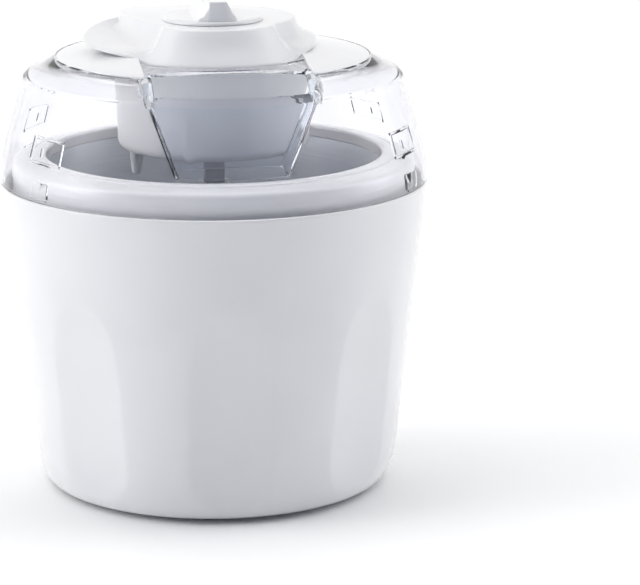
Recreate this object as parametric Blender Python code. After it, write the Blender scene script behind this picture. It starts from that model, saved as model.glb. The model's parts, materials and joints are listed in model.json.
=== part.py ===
"""Ice cream maker: a housing with a lift-out freezer bowl, a clear lid with a feed hopper, and a
motor unit that stands in the lid and turns a paddle.

Metres, +Z up. The origin is on the table, under the vertical axis that all round pieces share.
Azimuths are measured from the front (-Y) towards +X.
"""

import math

import bmesh
import bpy

MM = 0.001
GAP = 0.3 * MM
TINY = 1e-7

# Housing: a straight cone that closes in a rounded foot, with flats around its lower half.
HOUSING_TOP_Z = 164.2 * MM
CONE_RADIUS_AT_TABLE = 95.1 * MM
CONE_SLOPE = 0.1078
HOUSING_WALL = 2.5 * MM
HOUSING_BOTTOM_Z = 2.4 * MM
FOOT_ROUND_HEIGHT = 22.0 * MM
FOOT_ROUND_DEPTH = 7.3 * MM
FLAT_COUNT = 8
FLAT_TURN = math.radians(-2.0)
FLAT_TOP_Z = 114.0 * MM
FLAT_DEPTH = 2.35 * MM
FLAT_RUN = 13.0 * MM
HOUSING_SEGMENTS = 48

# Base plate, feet and screws.
SHELF_INNER_RADIUS = 62.0 * MM
SHELF_Z = 5.2 * MM
SHELF_THICKNESS = 2.8 * MM
BASE_PLATE_RADIUS = 84.0 * MM
BASE_PLATE_THICKNESS = 2.4 * MM
FOOT_RADIUS = 8.0 * MM
FOOT_RING = 66.0 * MM
STEM_RADIUS = 2.6 * MM
SCREW_RING = 71.0 * MM
SCREW_RADIUS = 1.6 * MM
SCREW_HEAD_RADIUS = 3.0 * MM
SCREW_HEAD_HEIGHT = 1.2 * MM

# Freezer bowl.
BOWL_BOTTOM_Z = SHELF_Z + SHELF_THICKNESS + GAP
BOWL_SKIN = 1.2 * MM
BOWL_TOP_Z = 172.0 * MM
BOWL_OUTER_TOP_RADIUS = 101.5 * MM
BOWL_OUTER_FOOT_RADIUS = 86.0 * MM
BOWL_INNER_TOP_RADIUS = 88.5 * MM
BOWL_INNER_FOOT_RADIUS = 77.0 * MM
BOWL_FLOOR_Z = 26.0 * MM
RIM_TOP_Z = 178.5 * MM
RIM_RADIUS = 106.0 * MM
RIM_BOTTOM_Z = 160.5 * MM
BOWL_SEGMENTS = 48

# Lid.
LID_BOTTOM_Z = HOUSING_TOP_Z + GAP
LID_RADIUS = 112.8 * MM
LID_WALL = 2.2 * MM
LID_EDGE_RADIUS = 99.7 * MM
LID_EDGE_Z = 219.0 * MM
SKIRT_RADIUS = 82.0 * MM
SKIRT_Z = 229.8 * MM
SKIRT_ROOT_RADIUS = 56.0 * MM
SKIRT_ROOT_Z = 233.5 * MM
SKIRT_THICKNESS = 1.5 * MM
SKIRT_GAP_AZIMUTH = math.radians(57)
LID_OPENING_RADIUS = 53.4 * MM
LOCK_AZIMUTHS = (-120, -60, 60, 120)
LOCK_INNER_RADIUS = 107.4 * MM
LOCK_OUTER_RADIUS = 111.0 * MM
LOCK_HALF_ANGLE = math.radians(3.6)
LOCK_LOW_Z = LID_BOTTOM_Z + 1.5 * MM
LOCK_HIGH_Z = LID_BOTTOM_Z + 9.5 * MM

# Feed hopper in the front of the lid: half widths and front radii at its top and bottom.
HOPPER_TOP_HALF = 42.5 * MM
HOPPER_BOTTOM_HALF = 27.5 * MM
HOPPER_TOP_FRONT = 95.5 * MM
HOPPER_BOTTOM_FRONT = 90.0 * MM
HOPPER_TOP_Z = 222.5 * MM
HOPPER_BOTTOM_Z = 180.6 * MM
HOPPER_WALL = 2.0 * MM
HOPPER_BACK_Y = -61.0 * MM

# Motor unit.
CUP_RADIUS = 51.0 * MM
CUP_WALL = 2.0 * MM
CUP_BOTTOM_Z = 181.0 * MM
CUP_TOP_Z = 228.7 * MM
CUP_FLOOR_Z = CUP_BOTTOM_Z + 2.4 * MM
COVER_TOP_Z = 247.8 * MM
COVER_BOTTOM_Z = CUP_TOP_Z + GAP
COVER_WALL = 2.2 * MM
SHAFT_BORE = 7.0 * MM
POST_AZIMUTHS = (-50, 60, 130)
POST_RING = 42.5 * MM
POST_RADIUS = 4.2 * MM
POST_SPLIT_Z = 206.5 * MM
POST_TOPS = (236.9 * MM, 236.9 * MM, 246.7 * MM)
PEG_AZIMUTHS = (-70, 110)
PEG_RING = 45.0 * MM
PEG_LENGTH = 11.0 * MM
GLAND_RADIUS = 5.0 * MM
GLAND_BORE = 3.3 * MM
GLAND_Z = 238.0 * MM
GLAND_FRONT_Y = 46.0 * MM
GLAND_BACK_Y = 59.5 * MM

# Gear train: module, tooth counts, and the plan positions of its axes.
MODULE = 1.0 * MM
PINION_TEETH = 12
IDLER_TEETH = 36
SMALL_TEETH = 12
OUTPUT_TEETH = 40
IDLER_DISTANCE = MODULE * (SMALL_TEETH + OUTPUT_TEETH) / 2
MOTOR_DISTANCE = MODULE * (PINION_TEETH + IDLER_TEETH) / 2
IDLER_CENTRE = (0.0, IDLER_DISTANCE)
MOTOR_BEARING = math.radians(-107.0)
MOTOR_CENTRE = (
    IDLER_CENTRE[0] + MOTOR_DISTANCE * math.sin(MOTOR_BEARING),
    IDLER_CENTRE[1] + MOTOR_DISTANCE * math.cos(MOTOR_BEARING),
)
LOW_GEAR_Z = 186.5 * MM
LOW_GEAR_HEIGHT = 5.0 * MM
HIGH_GEAR_Z = LOW_GEAR_Z + LOW_GEAR_HEIGHT + 1.0 * MM
HIGH_GEAR_HEIGHT = 4.0 * MM
GEAR_PLATE_Z = 198.5 * MM
GEAR_PLATE_THICKNESS = 2.0 * MM
MOTOR_RADIUS = 15.5 * MM
MOTOR_HEIGHT = 24.0 * MM
MOTOR_SHAFT_RADIUS = 1.2 * MM
AXLE_RADIUS = 1.5 * MM
SHAFT_RADIUS = 3.0 * MM
COUPLING_BOTTOM_Z = 151.5 * MM
COUPLING_HALF = 5.0 * MM

# Dial and switch.
DIAL_RADIUS = 26.5 * MM
DIAL_Z = COVER_TOP_Z + GAP
DIAL_HEIGHT = 1.8 * MM
DIAL_FIN_TOP_Z = 260.0 * MM
DIAL_FIN_HALF_LENGTH = 24.0 * MM
DIAL_SOCKET_RADIUS = 3.2 * MM
DIAL_SOCKET_DEPTH = 6.0 * MM
SPINDLE_RADIUS = 2.9 * MM
SPINDLE_BORE = 4.4 * MM
SWITCH_HALF = 9.0 * MM
SWITCH_Z = 232.0 * MM
SWITCH_HEIGHT = 9.0 * MM

# Paddle.
PADDLE_TOP_Z = 162.0 * MM
PADDLE_ARM_TOP_Z = 136.0 * MM
PADDLE_SOCKET_HALF = COUPLING_HALF + 0.5 * MM
PADDLE_BAR = 14.0 * MM
PADDLE_FLOOR_GAP = 1.5 * MM
PADDLE_WALL_GAP = 1.8 * MM
PADDLE_THICKNESS = 5.0 * MM
HUB_RADIUS = 9.0 * MM


# ---------------------------------------------------------------- materials and objects


def make_material(name, colour, roughness, metallic=0.0, transmission=0.0):
    material = bpy.data.materials.new(name)
    material.use_nodes = True
    shader = material.node_tree.nodes["Principled BSDF"]
    shader.inputs["Base Color"].default_value = (*colour, 1.0)
    shader.inputs["Roughness"].default_value = roughness
    shader.inputs["Metallic"].default_value = metallic
    shader.inputs["Transmission Weight"].default_value = transmission
    return material


def make_materials():
    return {
        "white_gloss": make_material("white_gloss", (0.86, 0.86, 0.87), 0.15),
        "white_satin": make_material("white_satin", (0.84, 0.84, 0.85), 0.35),
        "clear": make_material("clear", (0.93, 0.93, 0.97), 0.03, transmission=0.95),
        "aluminium": make_material("aluminium", (0.66, 0.68, 0.70), 0.28, metallic=1.0),
        "steel": make_material("steel", (0.55, 0.55, 0.56), 0.25, metallic=1.0),
        "brass": make_material("brass", (0.72, 0.55, 0.28), 0.30, metallic=1.0),
        "rubber": make_material("rubber", (0.05, 0.05, 0.05), 0.80),
        "grey_rubber": make_material("grey_rubber", (0.45, 0.46, 0.48), 0.70),
        "acetal": make_material("acetal", (0.80, 0.79, 0.74), 0.40),
        "black_plastic": make_material("black_plastic", (0.04, 0.04, 0.04), 0.45),
        "gel": make_material("gel", (0.35, 0.55, 0.75), 0.20),
    }


def add_object(name, mesh_builder, material):
    """Makes the mesh builder into a smooth-shaded object with the given material."""
    bmesh.ops.recalc_face_normals(mesh_builder, faces=mesh_builder.faces)
    mesh = bpy.data.meshes.new(name)
    mesh_builder.to_mesh(mesh)
    mesh_builder.free()
    mesh.shade_smooth()
    mesh.set_sharp_from_angle(angle=math.radians(30))
    thing = bpy.data.objects.new(name, mesh)
    bpy.context.collection.objects.link(thing)
    if material is not None:
        mesh.materials.append(material)
    return thing


def add_pivot(name, location):
    """An empty on a moving body's axis."""
    pivot = bpy.data.objects.new(name, None)
    pivot.location = location
    bpy.context.collection.objects.link(pivot)
    return pivot


def attach(pivot, *things):
    """Parents things to a pivot without moving them."""
    for thing in things:
        thing.parent = pivot
        thing.matrix_parent_inverse.translation = -pivot.location


def as_tool(thing):
    """Marks an object as a boolean tool, which isn't a part of its own."""
    thing.hide_render = True
    thing.display_type = "WIRE"
    return thing


def combine(thing, tool, operation):
    """Adds a boolean of the tool to the object: DIFFERENCE, UNION or INTERSECT."""
    as_tool(tool)
    modifier = thing.modifiers.new(tool.name, "BOOLEAN")
    modifier.operation = operation
    modifier.solver = "EXACT"
    modifier.object = tool
    return thing


# ---------------------------------------------------------------- shapes


def plan_point(radius, azimuth):
    """The plan position at a radius and an azimuth in radians."""
    return radius * math.sin(azimuth), -radius * math.cos(azimuth)


def swept_round(outline_at, azimuths, centre=(0.0, 0.0)):
    """Joins closed outlines of (radius, z) points, one for each azimuth, into one round body."""
    builder = bmesh.new()
    poles = {}
    rings = []
    for azimuth in azimuths:
        ring = []
        for index, (radius, z) in enumerate(outline_at(azimuth)):
            if radius < TINY:
                if index not in poles:
                    poles[index] = builder.verts.new((centre[0], centre[1], z))
                ring.append(poles[index])
            else:
                x, y = plan_point(radius, azimuth)
                ring.append(builder.verts.new((centre[0] + x, centre[1] + y, z)))
        rings.append(ring)
    for ring, following in zip(rings, rings[1:] + rings[:1]):
        count = len(ring)
        for low in range(count):
            high = (low + 1) % count
            corners = []
            for vertex in (ring[low], ring[high], following[high], following[low]):
                if vertex not in corners:
                    corners.append(vertex)
            if len(corners) > 2:
                builder.faces.new(corners)
    return builder


def even_azimuths(segments):
    return [2 * math.pi * step / segments for step in range(segments)]


def turned(outline, segments=48, centre=(0.0, 0.0)):
    """A closed outline of (radius, z) points turned about a vertical axis."""
    return swept_round(lambda azimuth: outline, even_azimuths(segments), centre)


def tube(inner, outer, low, high, segments=32, centre=(0.0, 0.0)):
    return turned([(inner, low), (outer, low), (outer, high), (inner, high)], segments, centre)


def loft(low_outline, high_outline, low_z, high_z):
    """A body between two plan outlines with as many points each."""
    builder = bmesh.new()
    low = [builder.verts.new((x, y, low_z)) for x, y in low_outline]
    high = [builder.verts.new((x, y, high_z)) for x, y in high_outline]
    builder.faces.new(low)
    builder.faces.new(high)
    count = len(low)
    for index in range(count):
        after = (index + 1) % count
        builder.faces.new((low[index], low[after], high[after], high[index]))
    return builder


def prism(outline, low, high):
    return loft(outline, outline, low, high)


def disc(radius, low, high, segments=32, centre=(0.0, 0.0)):
    circle = [plan_point(radius, azimuth) for azimuth in even_azimuths(segments)]
    return prism([(centre[0] + x, centre[1] + y) for x, y in circle], low, high)


def block(low_corner, high_corner):
    outline = [
        (low_corner[0], low_corner[1]),
        (high_corner[0], low_corner[1]),
        (high_corner[0], high_corner[1]),
        (low_corner[0], high_corner[1]),
    ]
    return prism(outline, low_corner[2], high_corner[2])


def along_keys(keys, degrees):
    """Value at an angle on a smooth closed curve through (angle, value) keys."""
    count = len(keys)

    def key(index):
        turns, place = divmod(index, count)
        return keys[place][0] + 360.0 * turns, keys[place][1]

    def slope(index):
        before, after = key(index - 1), key(index + 1)
        return (after[1] - before[1]) / (after[0] - before[0])

    angle = (degrees - keys[0][0]) % 360.0 + keys[0][0]
    index = max(place for place in range(count) if keys[place][0] <= angle)
    (start, first), (end, second) = key(index), key(index + 1)
    width = end - start
    part = (angle - start) / width
    rise = first + (second - first) * part * part * (3 - 2 * part)
    leave = slope(index) * width * part * (1 - part) ** 2
    arrive = slope(index + 1) * width * part * part * (1 - part)
    return rise + leave - arrive


# ---------------------------------------------------------------- housing


def cone_radius(z):
    return CONE_RADIUS_AT_TABLE + CONE_SLOPE * z


def flat_depth(z):
    """How far a flat lies inside the cone at its middle."""
    if z >= FLAT_TOP_Z:
        return -1.0 * MM
    return FLAT_DEPTH * (1 - math.exp(-(FLAT_TOP_Z - z) / FLAT_RUN))


def foot_inset(z):
    """How far the rounded foot draws in below the straight cone."""
    start = HOUSING_BOTTOM_Z + FOOT_ROUND_HEIGHT
    if z >= start:
        return 0.0
    part = (start - z) / FOOT_ROUND_HEIGHT
    return FOOT_ROUND_DEPTH * (1 - math.sqrt(max(0.0, 1 - part * part)))


def housing_radius(azimuth, z):
    """Outer radius of the housing: the cone, or the flat where that lies inside it."""
    pitch = 2 * math.pi / FLAT_COUNT
    offset = (azimuth - FLAT_TURN + pitch / 2) % pitch - pitch / 2
    flat = (cone_radius(z) - flat_depth(z)) / math.cos(offset)
    return min(cone_radius(z) - foot_inset(z), flat)


def housing_outline(azimuth):
    foot_rows = [HOUSING_BOTTOM_Z + FOOT_ROUND_HEIGHT * (1 - math.sin(math.radians(a)))
                 for a in (15, 40, 65, 90)]
    flat_rows = [z * MM for z in (114, 110, 104, 94, 78, 50)]
    top = HOUSING_TOP_Z
    points = [(cone_radius(top) - 0.5 * MM, top), (cone_radius(top), top - 0.6 * MM)]
    points += [(housing_radius(azimuth, z), z) for z in flat_rows + foot_rows]
    lip = BASE_PLATE_RADIUS + GAP
    shelf_top = SHELF_Z + SHELF_THICKNESS
    points += [
        (lip, HOUSING_BOTTOM_Z),
        (lip, SHELF_Z),
        (SHELF_INNER_RADIUS, SHELF_Z),
        (SHELF_INNER_RADIUS, shelf_top),
        (BOWL_OUTER_FOOT_RADIUS + 1.0 * MM, shelf_top),
    ]
    inner_rows = [z * MM for z in (18, 78, 104, 114)]
    points += [(housing_radius(azimuth, z) - HOUSING_WALL, z) for z in inner_rows]
    points.append((cone_radius(top) - HOUSING_WALL, top))
    return points


def quarter_points(radius):
    return [plan_point(radius, math.radians(45 + 90 * quarter)) for quarter in range(4)]


def screw_points():
    return [plan_point(SCREW_RING, math.radians(90 * quarter)) for quarter in range(4)]


def hole_tool(name, radius, low, high, centres):
    """One tool of separate cylinders, as used to drill several holes at once."""
    builder = bmesh.new()
    corners = even_azimuths(16)
    for x, y in centres:
        ends = []
        for z in (low, high):
            ends.append([
                builder.verts.new((x + radius * math.cos(a), y + radius * math.sin(a), z))
                for a in corners
            ])
        builder.faces.new(ends[0])
        builder.faces.new(ends[1])
        for index in range(len(corners)):
            after = (index + 1) % len(corners)
            builder.faces.new((ends[0][index], ends[0][after], ends[1][after], ends[1][index]))
    return add_object(name, builder, None)


def screw(low, head_radius, head_height, shank_radius, length, centre):
    """A screw driven upwards: head at the bottom, pointed shank above it."""
    top = low + head_height + length
    outline = [
        (0, low),
        (head_radius * 0.8, low),
        (head_radius, low + 0.4 * head_height),
        (head_radius, low + head_height),
        (shank_radius, low + head_height),
        (shank_radius, top - shank_radius),
        (shank_radius * 0.3, top),
        (0, top),
    ]
    return turned(outline, 10, centre)


def build_housing(materials):
    azimuths = [azimuth + FLAT_TURN for azimuth in even_azimuths(HOUSING_SEGMENTS)]
    shell = add_object("housing_shell", swept_round(housing_outline, azimuths),
                       materials["white_gloss"])
    pilot = hole_tool("shell_pilot_holes", SCREW_RADIUS + GAP, SHELF_Z - 1 * MM,
                      SHELF_Z + SHELF_THICKNESS + 1 * MM, screw_points())
    combine(shell, pilot, "DIFFERENCE")
    plate_top = SHELF_Z - GAP
    plate_bottom = plate_top - BASE_PLATE_THICKNESS
    plate = add_object("base_plate", disc(BASE_PLATE_RADIUS, plate_bottom, plate_top, 48),
                       materials["white_satin"])
    clearance = hole_tool("plate_screw_holes", SCREW_RADIUS + GAP, plate_bottom - 1 * MM,
                          plate_top + 1 * MM, screw_points())
    stem_holes = hole_tool("plate_foot_holes", STEM_RADIUS + GAP, plate_bottom - 1 * MM,
                           plate_top + 1 * MM, quarter_points(FOOT_RING))
    combine(plate, clearance, "DIFFERENCE")
    combine(plate, stem_holes, "DIFFERENCE")
    head_bottom = plate_bottom - GAP - SCREW_HEAD_HEIGHT
    for number, point in enumerate(screw_points(), 1):
        add_object(f"base_screw_{number}",
                   screw(head_bottom, SCREW_HEAD_RADIUS, SCREW_HEAD_HEIGHT, SCREW_RADIUS,
                         5.6 * MM, point),
                   materials["steel"])
    foot_top = plate_bottom - GAP
    for number, point in enumerate(quarter_points(FOOT_RING), 1):
        outline = [
            (0, 0),
            (FOOT_RADIUS - 0.5 * MM, 0),
            (FOOT_RADIUS, 0.5 * MM),
            (FOOT_RADIUS, foot_top),
            (STEM_RADIUS, foot_top),
            (STEM_RADIUS, plate_top - 0.2 * MM),
            (0, plate_top - 0.2 * MM),
        ]
        add_object(f"rubber_foot_{number}", turned(outline, 16, point), materials["rubber"])


# ---------------------------------------------------------------- freezer bowl


def bowl_outer_outline():
    """Outer skin: bottom, rounded corner, cone; then the same again one skin further in."""
    def run(inset):
        low = BOWL_BOTTOM_Z + inset
        return [
            (76.0 * MM - inset * 0.4, low),
            (82.0 * MM - inset * 0.7, low + 2.2 * MM),
            (85.2 * MM - inset, low + 6.5 * MM),
            (BOWL_OUTER_TOP_RADIUS - inset, BOWL_TOP_Z),
        ]
    hole = 6.0 * MM
    outside = [(hole, BOWL_BOTTOM_Z)] + run(0.0)
    inside = [(hole, BOWL_BOTTOM_Z + BOWL_SKIN)] + run(BOWL_SKIN)
    return outside + inside[::-1]


def bowl_inner_run(inset):
    """Inside face of the bowl from the middle of its floor to its top, moved outwards."""
    return [
        (0, BOWL_FLOOR_Z - inset),
        (69.0 * MM + inset * 0.4, BOWL_FLOOR_Z - inset),
        (74.6 * MM + inset * 0.8, BOWL_FLOOR_Z + 2.4 * MM - inset * 0.8),
        (BOWL_INNER_FOOT_RADIUS + inset, BOWL_FLOOR_Z + 8.0 * MM - inset * 0.3),
        (BOWL_INNER_TOP_RADIUS + inset, BOWL_TOP_Z),
    ]


def bowl_radius_at(z):
    """Inside radius of the bowl's wall at a height above its rounded corner."""
    low = BOWL_FLOOR_Z + 8.0 * MM
    part = (z - low) / (BOWL_TOP_Z - low)
    return BOWL_INNER_FOOT_RADIUS + (BOWL_INNER_TOP_RADIUS - BOWL_INNER_FOOT_RADIUS) * part


def gel_outline():
    top = BOWL_TOP_Z - 9.0 * MM
    base = BOWL_BOTTOM_Z + BOWL_SKIN + GAP
    outer_top = BOWL_OUTER_TOP_RADIUS - BOWL_SKIN - 1.4 * MM
    inner_top = bowl_radius_at(top) + BOWL_SKIN + GAP
    inside = bowl_inner_run(BOWL_SKIN + GAP)[:4]
    return [
        (0, base),
        (74.5 * MM, base),
        (80.4 * MM, base + 2.4 * MM),
        (83.4 * MM, base + 6.8 * MM),
        (outer_top, top),
        (inner_top, top),
    ] + inside[::-1]


def rim_outline():
    top = RIM_TOP_Z
    under = BOWL_TOP_Z + GAP
    inner = BOWL_INNER_TOP_RADIUS - 0.2 * MM
    outer_skirt = RIM_RADIUS - 2.4 * MM
    return [
        (inner, under),
        (inner, top - 1.2 * MM),
        (inner + 1.0 * MM, top),
        (93.0 * MM, top),
        (95.4 * MM, top - 0.5 * MM),
        (96.2 * MM, top - 1.2 * MM),
        (97.0 * MM, top - 0.8 * MM),
        (102.4 * MM, top - 1.8 * MM),
        (105.1 * MM, top - 3.2 * MM),
        (RIM_RADIUS, top - 5.6 * MM),
        (RIM_RADIUS, RIM_BOTTOM_Z),
        (outer_skirt, RIM_BOTTOM_Z),
        (outer_skirt, under),
    ]


def build_bowl(materials):
    outer = add_object("bowl_outer_wall", turned(bowl_outer_outline(), BOWL_SEGMENTS),
                       materials["white_satin"])
    skin = bowl_inner_run(0.0) + bowl_inner_run(BOWL_SKIN)[::-1]
    inner = add_object("bowl_inner_wall", turned(skin, BOWL_SEGMENTS), materials["aluminium"])
    gel = add_object("bowl_gel", turned(gel_outline(), BOWL_SEGMENTS), materials["gel"])
    rim = add_object("bowl_rim", turned(rim_outline(), BOWL_SEGMENTS), materials["white_gloss"])
    seal_inner = BOWL_INNER_TOP_RADIUS + BOWL_SKIN + GAP
    seal_outer = BOWL_OUTER_TOP_RADIUS - BOWL_SKIN - 1.0 * MM
    seal = add_object("bowl_seal_ring",
                      tube(seal_inner, seal_outer, BOWL_TOP_Z - 6.0 * MM, BOWL_TOP_Z,
                           BOWL_SEGMENTS),
                      materials["grey_rubber"])
    plug_top = BOWL_BOTTOM_Z + BOWL_SKIN - 0.1 * MM
    head_top = BOWL_BOTTOM_Z - GAP
    plug_outline = [
        (0, head_top - 1.6 * MM),
        (8.0 * MM, head_top - 1.6 * MM),
        (8.0 * MM, head_top),
        (5.7 * MM, head_top),
        (5.7 * MM, plug_top),
        (0, plug_top),
    ]
    plug = add_object("bowl_fill_plug", turned(plug_outline, 24), materials["grey_rubber"])
    attach(add_pivot("bowl_pivot", (0, 0, RIM_TOP_Z)), outer, inner, gel, rim, seal, plug)


# ---------------------------------------------------------------- lid


def skirt_z(radius):
    """Height of the shallow cone that the skirt of the motor unit and the lid share."""
    part = (radius - SKIRT_ROOT_RADIUS) / (SKIRT_RADIUS - SKIRT_ROOT_RADIUS)
    return SKIRT_ROOT_Z + (SKIRT_Z - SKIRT_ROOT_Z) * part


def lid_outer_run():
    """Outside face of the lid, from its bottom edge up to the step for the skirt."""
    return [
        (LID_RADIUS, LID_BOTTOM_Z),
        (LID_RADIUS, LID_BOTTOM_Z + 6.0 * MM),
        (111.4 * MM, 177.0 * MM),
        (109.3 * MM, 185.5 * MM),
        (105.6 * MM, 198.0 * MM),
        (101.1 * MM, 212.7 * MM),
        (LID_EDGE_RADIUS, LID_EDGE_Z),
        (LID_EDGE_RADIUS - 2.2 * MM, LID_EDGE_Z + 2.2 * MM),
        (SKIRT_RADIUS + GAP, SKIRT_Z),
    ]


def lid_seat_z(radius):
    """Top of the seat that the skirt of the motor unit lies on."""
    return skirt_z(radius) - SKIRT_THICKNESS - GAP


def lid_outline():
    step = SKIRT_RADIUS + GAP
    edge = LID_OPENING_RADIUS
    wall = LID_WALL
    outside = lid_outer_run()
    seat = [(step, lid_seat_z(step)), (edge, lid_seat_z(edge))]
    inside = [
        (edge, lid_seat_z(edge) - wall),
        (step, lid_seat_z(step) - wall),
        (LID_EDGE_RADIUS - 3.4 * MM, LID_EDGE_Z + 0.4 * MM),
        (98.0 * MM, 214.0 * MM),
        (103.2 * MM, 197.5 * MM),
        (107.0 * MM, 185.0 * MM),
        (109.1 * MM, 176.6 * MM),
        (LID_RADIUS - wall, LID_BOTTOM_Z + 5.6 * MM),
        (LID_RADIUS - wall, LID_BOTTOM_Z),
    ]
    return outside + seat + inside


def hopper_outline(half_width, front_radius, back_y, grow):
    """Plan outline of the hopper: straight sides and a front that follows the lid's curve."""
    half = half_width + grow
    radius = front_radius + grow
    span = math.asin(half / radius)
    steps = 8
    arc = [plan_point(radius, -span + 2 * span * step / steps) for step in range(steps + 1)]
    return [(-half, back_y)] + arc + [(half, back_y)]


def hopper_body(name, grow, low_z, high_z):
    """Tapered hopper between two heights, extended along its own slope."""
    back = HOPPER_BACK_Y + grow

    def at(z):
        part = (z - HOPPER_BOTTOM_Z) / (HOPPER_TOP_Z - HOPPER_BOTTOM_Z)
        half = HOPPER_BOTTOM_HALF + (HOPPER_TOP_HALF - HOPPER_BOTTOM_HALF) * part
        front = HOPPER_BOTTOM_FRONT + (HOPPER_TOP_FRONT - HOPPER_BOTTOM_FRONT) * part
        return hopper_outline(half, front, back, grow)

    return add_object(name, loft(at(low_z), at(high_z), low_z, high_z), None)


def front_sector(radius, half_angle):
    """Plan outline of a sector around the axis that faces the front."""
    steps = 12
    azimuths = [-half_angle + 2 * half_angle * step / steps for step in range(steps + 1)]
    return [(0.0, 0.0)] + [plan_point(radius, azimuth) for azimuth in azimuths]


def build_lid(materials):
    lid = add_object("lid", turned(lid_outline(), 56), materials["clear"])
    walls = hopper_body("hopper_walls", HOPPER_WALL, HOPPER_BOTTOM_Z, SKIRT_Z)
    inside_lid = lid_outer_run()[2:-1]
    inside_lid = [(radius - 0.2 * MM, z - 0.2 * MM) for radius, z in inside_lid]
    seat_top = lid_seat_z(LID_OPENING_RADIUS) - 0.4 * MM
    below_lid = LID_BOTTOM_Z - 10 * MM
    filled = [(0, below_lid), (109.0 * MM, below_lid)] + inside_lid
    filled += [(SKIRT_RADIUS, lid_seat_z(SKIRT_RADIUS) - 0.4 * MM),
               (LID_OPENING_RADIUS, seat_top), (0, seat_top)]
    envelope = add_object("lid_envelope", turned(filled, 56), None)
    combine(walls, envelope, "INTERSECT")
    combine(lid, walls, "UNION")
    for number, azimuth in enumerate(LOCK_AZIMUTHS, 1):
        start = math.radians(azimuth) - LOCK_HALF_ANGLE
        end = math.radians(azimuth) + LOCK_HALF_ANGLE
        outline = [plan_point(LOCK_INNER_RADIUS, start), plan_point(LOCK_OUTER_RADIUS, start),
                   plan_point(LOCK_OUTER_RADIUS, end), plan_point(LOCK_INNER_RADIUS, end)]
        lock = add_object(f"lid_lock_{number}", prism(outline, LOCK_LOW_Z, LOCK_HIGH_Z), None)
        combine(lid, lock, "UNION")
    above_lid = SKIRT_ROOT_Z + 5 * MM
    chute = hopper_body("hopper_chute", 0.0, HOPPER_BOTTOM_Z - 4 * MM, above_lid)
    combine(lid, chute, "DIFFERENCE")
    bore = add_object("lid_bore", disc(LID_OPENING_RADIUS - 0.4 * MM, LID_BOTTOM_Z - 1 * MM,
                                       above_lid, 56), None)
    combine(lid, bore, "DIFFERENCE")
    lip_sector = front_sector(SKIRT_ROOT_RADIUS + 0.6 * MM, SKIRT_GAP_AZIMUTH + math.radians(1))
    lip_room = prism(lip_sector, LID_EDGE_Z, above_lid)
    combine(lid, add_object("lid_lip_room", lip_room, None), "DIFFERENCE")
    attach(add_pivot("lid_pivot", (0, 0, LID_BOTTOM_Z)), lid)


# ---------------------------------------------------------------- motor unit casing

# Shape of the cover around its axis, as (azimuth, millimetres) keys: the edge of the plateau, the
# foot of the wall below it, and the lip. The left side is scooped out under a raised wing, the
# right side has a shallow groove.
PLATEAU_RADIUS = [(-180, 52), (-158, 54.5), (-142, 60), (-128, 58.5), (-113, 47.5), (-92, 40.5),
                  (-70, 38.5), (-45, 39), (0, 39), (40, 39), (58, 38.5), (80, 41.5), (105, 46),
                  (130, 50), (155, 52)]
FOOT_RADIUS_KEYS = [(-180, 54.5), (-158, 57), (-142, 63), (-128, 62), (-113, 53), (-92, 46.5),
                    (-70, 44.5), (-45, 45.5), (0, 46), (40, 45.5), (58, 42.5), (80, 44.5),
                    (105, 49), (130, 53), (155, 54.5)]
FOOT_Z_KEYS = [(-180, 242), (-158, 243), (-142, 244.8), (-128, 245), (-113, 243.6), (-92, 240.5),
               (-70, 238.5), (-45, 239), (0, 239), (40, 239), (58, 238), (80, 239.5),
               (105, 241), (130, 242), (155, 242)]
LIP_RADIUS = [(-180, 57), (-158, 60), (-142, 64), (-124, 66), (-104, 67.5), (-86, 68), (-70, 62),
              (-57, 56.5), (-46, 53.4), (0, 52.6), (46, 53.2), (66, 54), (84, 54), (105, 56),
              (130, 57), (155, 57)]
LIP_Z = [(-180, 237.8), (-158, 241.4), (-142, 244), (-124, 244.4), (-104, 242.8), (-86, 240),
         (-70, 237.4), (-58, 235), (-46, 231.4), (-30, 231), (0, 231), (30, 231), (46, 231.4),
         (58, 235), (70, 236.4), (84, 237.6), (105, 238), (130, 237.8), (155, 237.6)]
LIP_THICKNESS = 1.3 * MM
SKIRT_INNER_RADIUS = 50.2 * MM
SKIRT_KNEE_RADIUS = 52.6 * MM


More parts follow.
